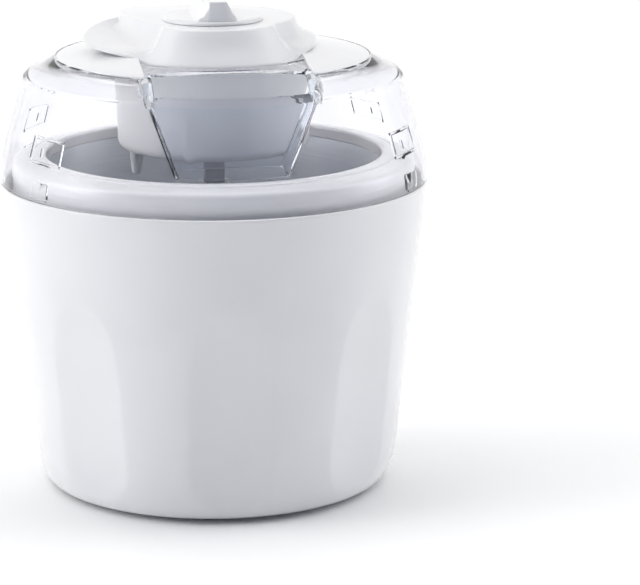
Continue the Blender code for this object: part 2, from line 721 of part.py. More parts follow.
def cover_outline(azimuth):
    """Closed outline of the cover's shell at an azimuth, without its skirt."""
    degrees = math.degrees(azimuth)
    plateau = along_keys(PLATEAU_RADIUS, degrees) * MM
    foot = (along_keys(FOOT_RADIUS_KEYS, degrees) * MM, along_keys(FOOT_Z_KEYS, degrees) * MM)
    lip = (along_keys(LIP_RADIUS, degrees) * MM, along_keys(LIP_Z, degrees) * MM)
    root = min(lip[0] - 0.9 * MM, SKIRT_ROOT_RADIUS)
    root_z = max(min(skirt_z(root) - 0.5 * MM, lip[1] - LIP_THICKNESS), COVER_BOTTOM_Z + 0.2 * MM)
    knee = min(SKIRT_KNEE_RADIUS, root - 0.2 * MM)
    knee_z = skirt_z(knee) - SKIRT_THICKNESS + 0.2 * MM
    knee_z = max(min(knee_z, root_z), COVER_BOTTOM_Z + 0.1 * MM)
    inner = CUP_RADIUS - CUP_WALL
    top_inside = COVER_TOP_Z - COVER_WALL
    wall_inside = min(plateau - 2.4 * MM, foot[0] - 3.2 * MM)
    foot_inside = min(foot[0] - 2.4 * MM, inner - 0.4 * MM)
    foot_inside_z = min(foot[1] - 1.8 * MM, 236.0 * MM)
    return [
        (0, COVER_TOP_Z),
        (plateau - 1.0 * MM, COVER_TOP_Z),
        (plateau + 0.4 * MM, COVER_TOP_Z - 0.9 * MM),
        foot,
        (lip[0] - 0.5 * MM, lip[1]),
        (lip[0], lip[1] - 0.5 * LIP_THICKNESS),
        (root, root_z),
        (knee, knee_z),
        (CUP_RADIUS + 0.2 * MM, COVER_BOTTOM_Z),
        (inner, COVER_BOTTOM_Z),
        (foot_inside, foot_inside_z),
        (wall_inside, top_inside),
        (0, top_inside),
    ]


def skirt():
    """Shallow cone around the cover, open in front for the feed hopper."""
    inner, outer = SKIRT_INNER_RADIUS, SKIRT_RADIUS
    outline = [(inner, skirt_z(inner) - SKIRT_THICKNESS), (outer, skirt_z(outer) - SKIRT_THICKNESS),
               (outer, skirt_z(outer)), (inner, skirt_z(inner))]
    ring = add_object("cover_skirt", turned(outline, 60), None)
    half = HOPPER_TOP_HALF
    front = -SKIRT_RADIUS - 5 * MM
    corner = plan_point(SKIRT_ROOT_RADIUS, SKIRT_GAP_AZIMUTH)
    gap = [(-half, front), (half, front), (half, -34 * MM), corner, (0, 0),
           (-corner[0], corner[1]), (-half, -34 * MM)]
    tool = add_object("skirt_gap", prism(gap, SKIRT_Z - 5 * MM, SKIRT_ROOT_Z + 5 * MM), None)
    return combine(ring, tool, "DIFFERENCE")


def post_points():
    return [plan_point(POST_RING, math.radians(azimuth)) for azimuth in POST_AZIMUTHS]


def cup_outline():
    """Cup with a rounded bottom edge and a bore for the shaft bush."""
    bottom = CUP_BOTTOM_Z
    return [
        (SHAFT_BORE, bottom),
        (CUP_RADIUS - 6.0 * MM, bottom),
        (CUP_RADIUS - 3.2 * MM, bottom + 0.9 * MM),
        (CUP_RADIUS - 1.3 * MM, bottom + 2.9 * MM),
        (CUP_RADIUS - 0.6 * MM, bottom + 5.8 * MM),
        (CUP_RADIUS, CUP_TOP_Z),
        (CUP_RADIUS - CUP_WALL, CUP_TOP_Z),
        (CUP_RADIUS - CUP_WALL - 0.6 * MM, bottom + 6.2 * MM),
        (CUP_RADIUS - CUP_WALL - 3.4 * MM, CUP_FLOOR_Z),
        (SHAFT_BORE, CUP_FLOOR_Z),
    ]


def build_cup(materials):
    cup = add_object("motor_cup", turned(cup_outline(), 48), materials["white_satin"])
    for number, point in enumerate(post_points(), 1):
        post = add_object(f"cup_post_{number}",
                          disc(POST_RADIUS, CUP_BOTTOM_Z + 1.0 * MM, POST_SPLIT_Z, 12, point), None)
        combine(cup, post, "UNION")
    for number, azimuth in enumerate(PEG_AZIMUTHS, 1):
        centre = plan_point(PEG_RING, math.radians(azimuth))
        tip = CUP_BOTTOM_Z - PEG_LENGTH
        root = CUP_BOTTOM_Z + 1.5 * MM
        outline = [(0, tip), (1.6 * MM, tip), (2.6 * MM, tip + 1.0 * MM), (3.6 * MM, root), (0, root)]
        peg = add_object(f"cup_peg_{number}", turned(outline, 16, centre), None)
        combine(cup, peg, "UNION")
    holes = hole_tool("cup_screw_holes", SCREW_RADIUS + GAP, CUP_BOTTOM_Z - 1 * MM,
                      POST_SPLIT_Z + 1 * MM, post_points())
    combine(cup, holes, "DIFFERENCE")
    recesses = hole_tool("cup_head_recesses", SCREW_HEAD_RADIUS + GAP, CUP_BOTTOM_Z - 1 * MM,
                         CUP_BOTTOM_Z + 4 * MM, post_points())
    combine(cup, recesses, "DIFFERENCE")
    screws = []
    for number, point in enumerate(post_points(), 1):
        low = CUP_BOTTOM_Z + 4 * MM - GAP - 2 * SCREW_HEAD_HEIGHT
        screws.append(add_object(
            f"cover_screw_{number}",
            screw(low, SCREW_HEAD_RADIUS, 2 * SCREW_HEAD_HEIGHT, SCREW_RADIUS, 31 * MM, point),
            materials["steel"]))
    return [cup] + screws


def build_cover(materials):
    azimuths = [math.radians(degrees) for degrees in range(-180, 180, 6)]
    cover = add_object("motor_cover", swept_round(cover_outline, azimuths),
                       materials["white_gloss"])
    combine(cover, skirt(), "UNION")
    for number, (point, top) in enumerate(zip(post_points(), POST_TOPS), 1):
        post = add_object(f"cover_post_{number}",
                          disc(POST_RADIUS, POST_SPLIT_Z + GAP, top, 12, point), None)
        combine(cover, post, "UNION")
    holes = hole_tool("cover_screw_holes", SCREW_RADIUS + GAP, POST_SPLIT_Z - 1 * MM,
                      POST_SPLIT_Z + 14 * MM, post_points())
    combine(cover, holes, "DIFFERENCE")
    bore = add_object("spindle_bore", disc(SPINDLE_BORE, COVER_TOP_Z - 6 * MM,
                                           COVER_TOP_Z + 3 * MM, 24), None)
    combine(cover, bore, "DIFFERENCE")
    return cover


# ---------------------------------------------------------------- gear train


def gear_outline(teeth, phase):
    """Plan outline of a spur gear with short teeth and a little play; phase is a tooth's azimuth."""
    pitch_radius = MODULE * teeth / 2
    tip = pitch_radius + 0.85 * MODULE
    root = pitch_radius - 1.15 * MODULE
    half_tooth = (math.pi * MODULE / 2 - 0.4 * MODULE) / 2 / pitch_radius
    spread = math.tan(math.radians(20)) * MODULE / pitch_radius
    points = []
    for tooth in range(teeth):
        middle = phase + 2 * math.pi * tooth / teeth
        points += [
            plan_point(root, middle - half_tooth - spread * 0.9),
            plan_point(pitch_radius, middle - half_tooth),
            plan_point(tip, middle - half_tooth + spread),
            plan_point(tip, middle + half_tooth - spread),
            plan_point(pitch_radius, middle + half_tooth),
            plan_point(root, middle + half_tooth + spread * 0.9),
        ]
    return points


def gear(teeth, phase, low, high, centre):
    outline = [(x + centre[0], y + centre[1]) for x, y in gear_outline(teeth, phase)]
    return prism(outline, low, high)


def azimuth_towards(start, end):
    """Azimuth of the direction from one plan point to another."""
    return math.atan2(end[0] - start[0], -(end[1] - start[1]))


def meshing_phase(teeth, start, end):
    """Phase that puts a gap between teeth on the line from this gear to its neighbour."""
    return azimuth_towards(start, end) + math.pi / teeth


def build_output(materials):
    axis = (0.0, 0.0)
    shaft_top = GEAR_PLATE_Z + GEAR_PLATE_THICKNESS + 3.0 * MM
    bore = SHAFT_RADIUS + GAP
    phase = azimuth_towards(axis, IDLER_CENTRE)
    wheel = add_object("output_gear", gear(OUTPUT_TEETH, phase, LOW_GEAR_Z,
                                           LOW_GEAR_Z + LOW_GEAR_HEIGHT, axis),
                       materials["acetal"])
    combine(wheel, hole_tool("output_gear_bore", bore, LOW_GEAR_Z - 1 * MM,
                             LOW_GEAR_Z + LOW_GEAR_HEIGHT + 1 * MM, [axis]), "DIFFERENCE")
    shaft = add_object("output_shaft",
                       disc(SHAFT_RADIUS, COUPLING_BOTTOM_Z + 2 * MM, shaft_top, 24),
                       materials["steel"])
    half = COUPLING_HALF
    coupling = add_object("drive_coupling",
                          block((-half, -half, COUPLING_BOTTOM_Z),
                                (half, half, CUP_BOTTOM_Z - 1.5 * MM)),
                          materials["steel"])
    combine(coupling, hole_tool("coupling_bore", bore, COUPLING_BOTTOM_Z + 2 * MM - GAP,
                                CUP_BOTTOM_Z + 5 * MM, [axis]), "DIFFERENCE")
    clip_z = GEAR_PLATE_Z + GEAR_PLATE_THICKNESS + 0.6 * MM
    clip = add_object("shaft_clip", tube(bore, bore + 2.2 * MM, clip_z, clip_z + 0.8 * MM, 20),
                      materials["steel"])
    attach(add_pivot("output_pivot", (0, 0, LOW_GEAR_Z)), wheel, shaft, coupling, clip)


def build_idler(materials):
    """The double idler gear, and its axle, which stays with the motor unit."""
    low_phase = meshing_phase(SMALL_TEETH, IDLER_CENTRE, (0.0, 0.0))
    high_phase = azimuth_towards(IDLER_CENTRE, MOTOR_CENTRE)
    split = LOW_GEAR_Z + LOW_GEAR_HEIGHT
    idler = add_object("idler_gear",
                       gear(SMALL_TEETH, low_phase, LOW_GEAR_Z, split + 0.5 * MM, IDLER_CENTRE),
                       materials["acetal"])
    wheel = add_object("idler_wheel",
                       gear(IDLER_TEETH, high_phase, HIGH_GEAR_Z - 0.7 * MM,
                            HIGH_GEAR_Z + HIGH_GEAR_HEIGHT, IDLER_CENTRE), None)
    combine(idler, wheel, "UNION")
    combine(idler, hole_tool("idler_bore", AXLE_RADIUS + GAP, LOW_GEAR_Z - 1 * MM,
                             HIGH_GEAR_Z + HIGH_GEAR_HEIGHT + 1 * MM, [IDLER_CENTRE]),
            "DIFFERENCE")
    attach(add_pivot("idler_pivot", (*IDLER_CENTRE, LOW_GEAR_Z)), idler)
    axle = add_object("idler_axle",
                      disc(AXLE_RADIUS, CUP_FLOOR_Z + GAP,
                           GEAR_PLATE_Z + GEAR_PLATE_THICKNESS + 2 * MM, 16, IDLER_CENTRE),
                      materials["steel"])
    return axle


def build_motor(materials):
    plate_top = GEAR_PLATE_Z + GEAR_PLATE_THICKNESS
    can_low = plate_top + GAP
    can_high = can_low + MOTOR_HEIGHT
    can = add_object("motor_can",
                     turned([(2.6 * MM, can_low), (MOTOR_RADIUS, can_low),
                             (MOTOR_RADIUS, can_high - 1.5 * MM),
                             (MOTOR_RADIUS - 1.5 * MM, can_high), (2.6 * MM, can_high)],
                            32, MOTOR_CENTRE),
                     materials["steel"])
    cap = add_object("motor_end_cap",
                     turned([(0, can_high + GAP), (9.0 * MM, can_high + GAP),
                             (8.2 * MM, can_high + 3.4 * MM), (0, can_high + 3.4 * MM)],
                            24, MOTOR_CENTRE),
                     materials["black_plastic"])
    pinion_phase = meshing_phase(PINION_TEETH, MOTOR_CENTRE, IDLER_CENTRE)
    pinion = add_object("motor_pinion",
                        gear(PINION_TEETH, pinion_phase, HIGH_GEAR_Z,
                             HIGH_GEAR_Z + HIGH_GEAR_HEIGHT, MOTOR_CENTRE),
                        materials["brass"])
    combine(pinion, hole_tool("pinion_bore", MOTOR_SHAFT_RADIUS + GAP, HIGH_GEAR_Z - 1 * MM,
                              HIGH_GEAR_Z + HIGH_GEAR_HEIGHT + 1 * MM, [MOTOR_CENTRE]),
            "DIFFERENCE")
    shaft = add_object("motor_shaft",
                       disc(MOTOR_SHAFT_RADIUS, HIGH_GEAR_Z - 0.6 * MM, can_high - 0.5 * MM, 16,
                            MOTOR_CENTRE),
                       materials["steel"])
    attach(add_pivot("motor_shaft_pivot", (*MOTOR_CENTRE, HIGH_GEAR_Z)), pinion, shaft)
    plate = add_object("gear_plate", disc(CUP_RADIUS - CUP_WALL - 1.2 * MM, GEAR_PLATE_Z, plate_top,
                                          48), materials["steel"])
    combine(plate, hole_tool("plate_post_holes", POST_RADIUS + 0.6 * MM, GEAR_PLATE_Z - 1 * MM,
                             plate_top + 1 * MM, post_points()), "DIFFERENCE")
    combine(plate, hole_tool("plate_shaft_hole", SHAFT_RADIUS + GAP, GEAR_PLATE_Z - 1 * MM,
                             plate_top + 1 * MM, [(0.0, 0.0)]), "DIFFERENCE")
    combine(plate, hole_tool("plate_axle_holes", AXLE_RADIUS + GAP, GEAR_PLATE_Z - 1 * MM,
                             plate_top + 1 * MM, [IDLER_CENTRE, MOTOR_CENTRE]), "DIFFERENCE")
    return [can, cap, plate]


def build_bearings(materials):
    """A flanged bush in the floor of the cup, with a seal ring below it."""
    low = CUP_BOTTOM_Z - 0.6 * MM
    inner = SHAFT_RADIUS + GAP
    neck = SHAFT_BORE - 0.4 * MM
    outline = [(inner, low + 2.2 * MM), (neck, low + 2.2 * MM),
               (neck, CUP_FLOOR_Z + GAP), (9.0 * MM, CUP_FLOOR_Z + GAP),
               (9.0 * MM, CUP_FLOOR_Z + 1.6 * MM), (inner, CUP_FLOOR_Z + 1.6 * MM)]
    bush = add_object("shaft_bush", turned(outline, 24), materials["brass"])
    seal = add_object("shaft_seal", tube(inner, neck, low, low + 2.2 * MM - GAP, 24),
                      materials["rubber"])
    return [bush, seal]


# ---------------------------------------------------------------- switch, dial, gland, paddle


def fin_outline(depth):
    """Cross outline of the dial's fin: concave on its left, straight on its right."""
    base = DIAL_Z + DIAL_HEIGHT - 0.4 * MM
    top = DIAL_FIN_TOP_Z
    left = []
    steps = 7
    for step in range(steps + 1):
        part = step / steps
        left.append((-(4.5 + 6.5 * (1 - part) ** 2.4) * MM, base + (top - 1.2 * MM - base) * part))
    right = [(5.2 * MM, top - 1.0 * MM), (10.5 * MM, base)]
    return [(x, depth, z) for x, z in left + [(-3.5 * MM, top), (4.2 * MM, top)] + right]


def build_dial(materials):
    """The dial and its spindle, and the switch below them, which stays with the motor unit."""
    base = DIAL_Z
    rim = DIAL_RADIUS
    outline = [(0, base), (rim - 0.4 * MM, base), (rim, base + 0.5 * MM),
               (rim - 0.4 * MM, base + DIAL_HEIGHT - 0.5 * MM),
               (rim - 1.4 * MM, base + DIAL_HEIGHT), (0, base + DIAL_HEIGHT)]
    dial = add_object("dial_knob", turned(outline, 40), materials["white_gloss"])
    builder = bmesh.new()
    front = [builder.verts.new(point) for point in fin_outline(-DIAL_FIN_HALF_LENGTH)]
    back = [builder.verts.new(point) for point in fin_outline(DIAL_FIN_HALF_LENGTH)]
    builder.faces.new(front)
    builder.faces.new(back)
    for index in range(len(front)):
        after = (index + 1) % len(front)
        builder.faces.new((front[index], front[after], back[after], back[index]))
    combine(dial, add_object("dial_fin", builder, None), "UNION")
    socket_top = base + DIAL_SOCKET_DEPTH
    socket = hole_tool("dial_socket", DIAL_SOCKET_RADIUS, base - 1 * MM, socket_top, [(0.0, 0.0)])
    combine(dial, socket, "DIFFERENCE")
    switch_top = SWITCH_Z + SWITCH_HEIGHT
    spindle = add_object("switch_spindle",
                         disc(SPINDLE_RADIUS, switch_top + GAP, socket_top - GAP, 20),
                         materials["steel"])
    attach(add_pivot("dial_pivot", (0, 0, base)), dial, spindle)
    switch = add_object("switch_body",
                        block((-SWITCH_HALF, -SWITCH_HALF, SWITCH_Z),
                              (SWITCH_HALF, SWITCH_HALF, switch_top)),
                        materials["black_plastic"])
    return switch


def build_paddle(materials):
    """Flat frame that scrapes the wall and the floor of the bowl, with a hub for the coupling."""
    floor = BOWL_FLOOR_Z + PADDLE_FLOOR_GAP
    arm_top = PADDLE_ARM_TOP_Z
    corner = BOWL_FLOOR_Z + 9.0 * MM
    high = bowl_radius_at(arm_top) - PADDLE_WALL_GAP
    low = bowl_radius_at(corner) - PADDLE_WALL_GAP
    half = PADDLE_THICKNESS / 2
    outer = [(-low + 7.5 * MM, floor), (low - 7.5 * MM, floor), (low, corner), (high, arm_top),
             (-high, arm_top), (-low, corner)]
    frame = add_object("paddle", upright_plate(outer, half), materials["white_satin"])
    for number, side in enumerate((-1, 1), 1):
        near = HUB_RADIUS + 4.0 * MM
        bar = PADDLE_BAR
        window = [(side * near, floor + bar), (side * (low - bar - 1 * MM), floor + bar),
                  (side * (high - bar - 1 * MM), arm_top - bar + 1 * MM),
                  (side * near, arm_top - bar + 1 * MM)]
        combine(frame, add_object(f"paddle_window_{number}", upright_plate(window, 4 * half), None),
                "DIFFERENCE")
    hub = add_object("paddle_hub", disc(HUB_RADIUS, arm_top - 20 * MM, PADDLE_TOP_Z, 28), None)
    combine(frame, hub, "UNION")
    reach = PADDLE_SOCKET_HALF
    socket = add_object("paddle_socket",
                        block((-reach, -reach, COUPLING_BOTTOM_Z - 2 * MM),
                              (reach, reach, PADDLE_TOP_Z + 2 * MM)), None)
    combine(frame, socket, "DIFFERENCE")
    attach(add_pivot("paddle_pivot", (0, 0, floor)), frame)


def upright_plate(outline, half):
    """A plate in the XZ plane, from an outline of (x, z) points."""
    builder = bmesh.new()
    front = [builder.verts.new((x, -half, z)) for x, z in outline]
    back = [builder.verts.new((x, half, z)) for x, z in outline]
    builder.faces.new(front)
    builder.faces.new(back)
    for index in range(len(front)):
        after = (index + 1) % len(front)
        builder.faces.new((front[index], front[after], back[after], back[index]))
    return builder


def build_cord_gland(cover, materials):
    """Gland in the back of the cover, where the cord leaves the motor unit."""
    before, behind = GLAND_FRONT_Y - 2 * MM, GLAND_BACK_Y + 2.5 * MM
    hole = add_object("gland_hole", lying_rod(GLAND_RADIUS + GAP, before, behind, GLAND_Z, 20), None)
    combine(cover, hole, "DIFFERENCE")
    gland = add_object("cord_gland",
                       lying_rod(GLAND_RADIUS, GLAND_FRONT_Y, GLAND_BACK_Y, GLAND_Z, 20),
                       materials["grey_rubber"])
    bore = add_object("gland_bore", lying_rod(GLAND_BORE, before, behind, GLAND_Z, 16), None)
    combine(gland, bore, "DIFFERENCE")
    return gland


def lying_rod(radius, start_y, end_y, z, segments):
    """A cylinder along Y."""
    builder = bmesh.new()
    ends = []
    for y in (start_y, end_y):
        ends.append([builder.verts.new((radius * math.cos(a), y, z + radius * math.sin(a)))
                     for a in even_azimuths(segments)])
        builder.faces.new(ends[-1])
    for index in range(segments):
        after = (index + 1) % segments
        builder.faces.new((ends[0][index], ends[0][after], ends[1][after], ends[1][index]))
    return builder


def build_motor_unit(materials):
    pieces = build_cup(materials)
    cover = build_cover(materials)
    gland = build_cord_gland(cover, materials)
    pieces += [cover, gland]
    pieces += build_motor(materials)
    pieces += build_bearings(materials)
    pieces.append(build_idler(materials))
    build_output(materials)
    pieces.append(build_dial(materials))
    attach(add_pivot("motor_unit_pivot", (0, 0, SKIRT_Z)), *pieces)


def main():
    for thing in list(bpy.data.objects):
        bpy.data.objects.remove(thing, do_unlink=True)
    materials = make_materials()
    build_housing(materials)
    build_bowl(materials)
    build_lid(materials)
    build_motor_unit(materials)
    build_paddle(materials)


main()
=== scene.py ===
"""Looks of the ice cream maker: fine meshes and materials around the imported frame.

Metres, +Z up, the front faces -Y. Azimuths are measured from the front towards +X.
"""
import json
import math

import bmesh
import bpy
import numpy as np
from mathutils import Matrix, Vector


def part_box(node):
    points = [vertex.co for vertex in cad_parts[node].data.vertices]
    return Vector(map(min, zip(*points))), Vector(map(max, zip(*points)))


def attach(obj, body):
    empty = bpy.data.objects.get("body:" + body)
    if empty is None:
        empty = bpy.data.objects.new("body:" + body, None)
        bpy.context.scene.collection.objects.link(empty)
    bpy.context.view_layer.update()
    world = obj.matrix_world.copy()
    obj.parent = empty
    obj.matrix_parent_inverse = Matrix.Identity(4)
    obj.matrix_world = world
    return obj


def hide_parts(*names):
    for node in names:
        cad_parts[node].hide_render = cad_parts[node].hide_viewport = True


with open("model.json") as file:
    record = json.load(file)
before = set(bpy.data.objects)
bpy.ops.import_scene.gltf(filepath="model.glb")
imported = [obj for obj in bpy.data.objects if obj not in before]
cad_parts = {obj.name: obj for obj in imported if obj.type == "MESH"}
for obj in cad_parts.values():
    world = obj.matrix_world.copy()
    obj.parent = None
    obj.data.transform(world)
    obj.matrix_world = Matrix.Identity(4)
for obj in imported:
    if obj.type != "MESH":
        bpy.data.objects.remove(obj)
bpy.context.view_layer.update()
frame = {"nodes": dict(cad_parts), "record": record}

MM = 0.001
GAP = 0.3 * MM
FULL = 2 * math.pi


# ---------------------------------------------------------------- sizes read from the frame


def radius_of(node):
    """Radius of a round node about the vertical axis."""
    low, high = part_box(node)
    return (high[0] - low[0]) / 2


HOUSING_LOW, HOUSING_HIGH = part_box("housing_shell")
LID_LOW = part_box("lid")[0]
RIM_LOW, RIM_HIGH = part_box("bowl_rim")
CUP_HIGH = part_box("motor_cup")[1]
COVER_LOW, COVER_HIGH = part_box("motor_cover")
DIAL_LOW, DIAL_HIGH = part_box("dial_knob")
BOWL_LOW, BOWL_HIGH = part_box("bowl_inner_wall")
BOWL_SKIN = 1.2 * MM


# ---------------------------------------------------------------- mesh tools


def plan_point(radius, azimuth):
    """x and y at a radius and an azimuth (radians, from the front towards +X)."""
    return radius * math.sin(azimuth), -radius * math.cos(azimuth)


def new_piece(name, points, faces, smooth_angle=40):
    """Smooth-shaded mesh object, with edges sharper than smooth_angle (degrees) kept sharp."""
    mesh = bpy.data.meshes.new(name)
    mesh.from_pydata([tuple(p) for p in points], [], faces)
    mesh.validate()
    mesh.update()
    piece = bpy.data.objects.new(name, mesh)
    bpy.context.collection.objects.link(piece)
    face_outwards(mesh)
    mesh.shade_smooth()
    mesh.set_sharp_from_angle(angle=math.radians(smooth_angle))
    return piece


def face_outwards(mesh):
    """Merges doubled points and turns the faces of a closed mesh outwards."""
    builder = bmesh.new()
    builder.from_mesh(mesh)
    bmesh.ops.remove_doubles(builder, verts=builder.verts, dist=1e-7)
    bmesh.ops.recalc_face_normals(builder, faces=builder.faces)
    builder.to_mesh(mesh)
    builder.free()


def rounded(outline, radii, steps=4):
    """A closed outline with its corners rounded; radii maps a point's index to its radius."""
    count = len(outline)
    result = []
    for index, point in enumerate(outline):
        radius = radii.get(index, 0.0)
        if radius <= 0.0:
            result.append(point)
            continue
        here = np.array(point)
        before = np.array(outline[index - 1]) - here
        after = np.array(outline[(index + 1) % count]) - here
        reach_before = min(radius, np.linalg.norm(before) * 0.48)
        reach_after = min(radius, np.linalg.norm(after) * 0.48)
        start = here + before / np.linalg.norm(before) * reach_before
        end = here + after / np.linalg.norm(after) * reach_after
        for step in range(steps + 1):
            part = step / steps
            point = start * (1 - part) ** 2 + here * 2 * part * (1 - part) + end * part ** 2
            result.append(tuple(point))
    return result


def round_body(name, outline_at, segments, centre=(0.0, 0.0), smooth_angle=40):
    """Closed (radius, z) outlines around a vertical axis, one for each azimuth."""
    points = []
    faces = []
    rows = 0
    for step in range(segments):
        azimuth = FULL * step / segments
        ring = outline_at(azimuth)
        rows = len(ring)
        for radius, z in ring:
            x, y = plan_point(radius, azimuth)
            points.append((centre[0] + x, centre[1] + y, z))
    for step in range(segments):
        here, there = step * rows, (step + 1) % segments * rows
        for low in range(rows):
            high = (low + 1) % rows
            faces.append((here + low, here + high, there + high, there + low))
    return new_piece(name, points, faces, smooth_angle)


def lathe(name, outline, segments=160, centre=(0.0, 0.0), smooth_angle=40):
    """One closed (radius, z) outline turned around a vertical axis."""
    return round_body(name, lambda azimuth: outline, segments, centre, smooth_angle)


def loft(name, low_outline, high_outline, low_z, high_z):
    """Solid between two (x, y) outlines with the same number of points."""
    count = len(low_outline)
    points = [(x, y, low_z) for x, y in low_outline] + [(x, y, high_z) for x, y in high_outline]
    faces = [tuple(range(count)), tuple(range(count, 2 * count))]
    for index in range(count):
        after = (index + 1) % count
        faces.append((index, after, count + after, count + index))
    return new_piece(name, points, faces)


def apply_modifiers(piece):
    """Makes the piece's evaluated mesh its own and clears its modifiers."""
    depsgraph = bpy.context.evaluated_depsgraph_get()
    mesh = bpy.data.meshes.new_from_object(piece.evaluated_get(depsgraph))
    piece.modifiers.clear()
    piece.data = mesh
    return piece


def combine(piece, tool, operation):
    """Boolean of a tool, which is then deleted."""
    modifier = piece.modifiers.new("combine", "BOOLEAN")
    modifier.operation = operation
    modifier.solver = "EXACT"
    modifier.object = tool
    apply_modifiers(piece)
    bpy.data.objects.remove(tool, do_unlink=True)
    return piece


def along_keys(keys, degrees):
    """Value at an angle on a smooth closed curve through (angle, value) keys."""
    count = len(keys)

    def key(index):
        turns, place = divmod(index, count)
        return keys[place][0] + 360.0 * turns, keys[place][1]

    def slope(index):
        before, after = key(index - 1), key(index + 1)
        return (after[1] - before[1]) / (after[0] - before[0])

    angle = (degrees - keys[0][0]) % 360.0 + keys[0][0]
    index = max(place for place in range(count) if keys[place][0] <= angle)
    (start, first), (end, second) = key(index), key(index + 1)
    width = end - start
    part = (angle - start) / width
    rise = first + (second - first) * part * part * (3 - 2 * part)
    leave = slope(index) * width * part * (1 - part) ** 2
    arrive = slope(index + 1) * width * part * part * (1 - part)
    return rise + leave - arrive


def add_detail(piece, body, material):
    """Gives a piece its material and slot and lets it move with a body."""
    piece.data.materials.clear()
    piece.data.materials.append(material)
    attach(piece, body)


def finish_piece(piece, node, body, material):
    """A piece that stands for one CAD node."""
    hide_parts(node)
    add_detail(piece, body, material)


# ---------------------------------------------------------------- materials


def node_material(name):
    """A new node material, its tree and its shader."""
    material = bpy.data.materials.new(name)
    material.use_nodes = True
    tree = material.node_tree
    return material, tree, tree.nodes["Principled BSDF"]


def object_point(tree, scale=(1, 1, 1)):
    """Object coordinates, in metres times scale."""
    coords = tree.nodes.new("ShaderNodeTexCoord")
    mapping = tree.nodes.new("ShaderNodeMapping")
    mapping.inputs["Scale"].default_value = scale
    tree.links.new(coords.outputs["Object"], mapping.inputs["Vector"])
    return mapping.outputs["Vector"]


def noise(tree, vector, scale, detail=3.0, roughness=0.5):
    texture = tree.nodes.new("ShaderNodeTexNoise")
    texture.inputs["Scale"].default_value = scale
    texture.inputs["Detail"].default_value = detail
    texture.inputs["Roughness"].default_value = roughness
    tree.links.new(vector, texture.inputs["Vector"])
    return texture.outputs["Fac"]


def map_range(tree, value, low, high):
    """Spreads the middle half of a noise over low to high."""
    node = tree.nodes.new("ShaderNodeMapRange")
    node.inputs["From Min"].default_value = 0.25
    node.inputs["From Max"].default_value = 0.75
    node.inputs["To Min"].default_value = low
    node.inputs["To Max"].default_value = high
    tree.links.new(value, node.inputs["Value"])
    return node.outputs["Result"]


def tint(tree, value, dark, light):
    """Colour that goes from dark to light with a noise."""
    ramp = tree.nodes.new("ShaderNodeValToRGB")
    ramp.color_ramp.elements[0].position = 0.3
    ramp.color_ramp.elements[1].position = 0.7
    ramp.color_ramp.elements[0].color = (*dark, 1)
    ramp.color_ramp.elements[1].color = (*light, 1)
    tree.links.new(value, ramp.inputs["Fac"])
    return ramp.outputs["Color"]


def bump(tree, shader, height, strength, distance):
    node = tree.nodes.new("ShaderNodeBump")
    node.inputs["Strength"].default_value = strength
    node.inputs["Distance"].default_value = distance
    tree.links.new(height, node.inputs["Height"])
    tree.links.new(node.outputs["Normal"], shader.inputs["Normal"])


def moulded(name, colour, rough, spread=0.015, texture=0.06, grain=900.0, coat=0.0):
    """Moulded plastic: slight mottling in colour and gloss over a very fine grain."""
    material, tree, shader = node_material(name)
    point = object_point(tree)
    wide = noise(tree, point, 18.0, 2.0)
    fine = noise(tree, point, grain, 2.0)
    dark = tuple(max(0.0, c - spread) for c in colour)
    light = tuple(min(1.0, c + spread) for c in colour)
    tree.links.new(tint(tree, wide, dark, light), shader.inputs["Base Color"])
    tree.links.new(map_range(tree, wide, rough * 0.85, rough * 1.15), shader.inputs["Roughness"])
    bump(tree, shader, fine, texture, 0.02 * MM)
    shader.inputs["IOR"].default_value = 1.5
    shader.inputs["Coat Weight"].default_value = coat
    shader.inputs["Coat Roughness"].default_value = 0.05
    return material


def clear_plastic(name, dark, light):
    """Clear moulded plastic with a faint cool tint and slight waviness."""
    material, tree, shader = node_material(name)
    point = object_point(tree)
    wide = noise(tree, point, 22.0, 2.0)
    tree.links.new(tint(tree, wide, dark, light), shader.inputs["Base Color"])
    tree.links.new(map_range(tree, wide, 0.0, 0.012), shader.inputs["Roughness"])
    bump(tree, shader, wide, 0.03, 0.2 * MM)
    shader.inputs["Transmission Weight"].default_value = 1.0
    shader.inputs["IOR"].default_value = 1.22
    let_light_through(tree, shader)
    return material


CLEAR_SHARE = 0.93


def let_light_through(tree, shader):
    """Lets shadow rays and diffuse light pass straight through, as thin clear walls do."""
    path = tree.nodes.new("ShaderNodeLightPath")
    either = tree.nodes.new("ShaderNodeMath")
    either.operation = "MAXIMUM"
    tree.links.new(path.outputs["Is Shadow Ray"], either.inputs[0])
    tree.links.new(path.outputs["Is Diffuse Ray"], either.inputs[1])
    solid = tree.nodes.new("ShaderNodeMath")
    solid.operation = "MULTIPLY_ADD"
    solid.inputs[1].default_value = -CLEAR_SHARE
    solid.inputs[2].default_value = 1.0
    tree.links.new(either.outputs["Value"], solid.inputs[0])
    tree.links.new(solid.outputs["Value"], shader.inputs["Alpha"])


def turned_metal(name, colour, rough, rings, anisotropy=0.4):
    """Metal with the fine rings that spinning or turning leaves around the vertical axis."""
    material, tree, shader = node_material(name)
    point = object_point(tree)
    stretched = object_point(tree, (0.6, 0.6, rings))
    lines = noise(tree, stretched, 60.0, 4.0, 0.6)
    wide = noise(tree, point, 14.0, 3.0)
    dark = tuple(c * 0.9 for c in colour)
    tree.links.new(tint(tree, lines, dark, colour), shader.inputs["Base Color"])
    tree.links.new(map_range(tree, wide, rough * 0.8, rough * 1.2), shader.inputs["Roughness"])
    bump(tree, shader, lines, 0.12, 0.05 * MM)
    shader.inputs["Metallic"].default_value = 1.0
    shader.inputs["Anisotropic"].default_value = anisotropy
    return material


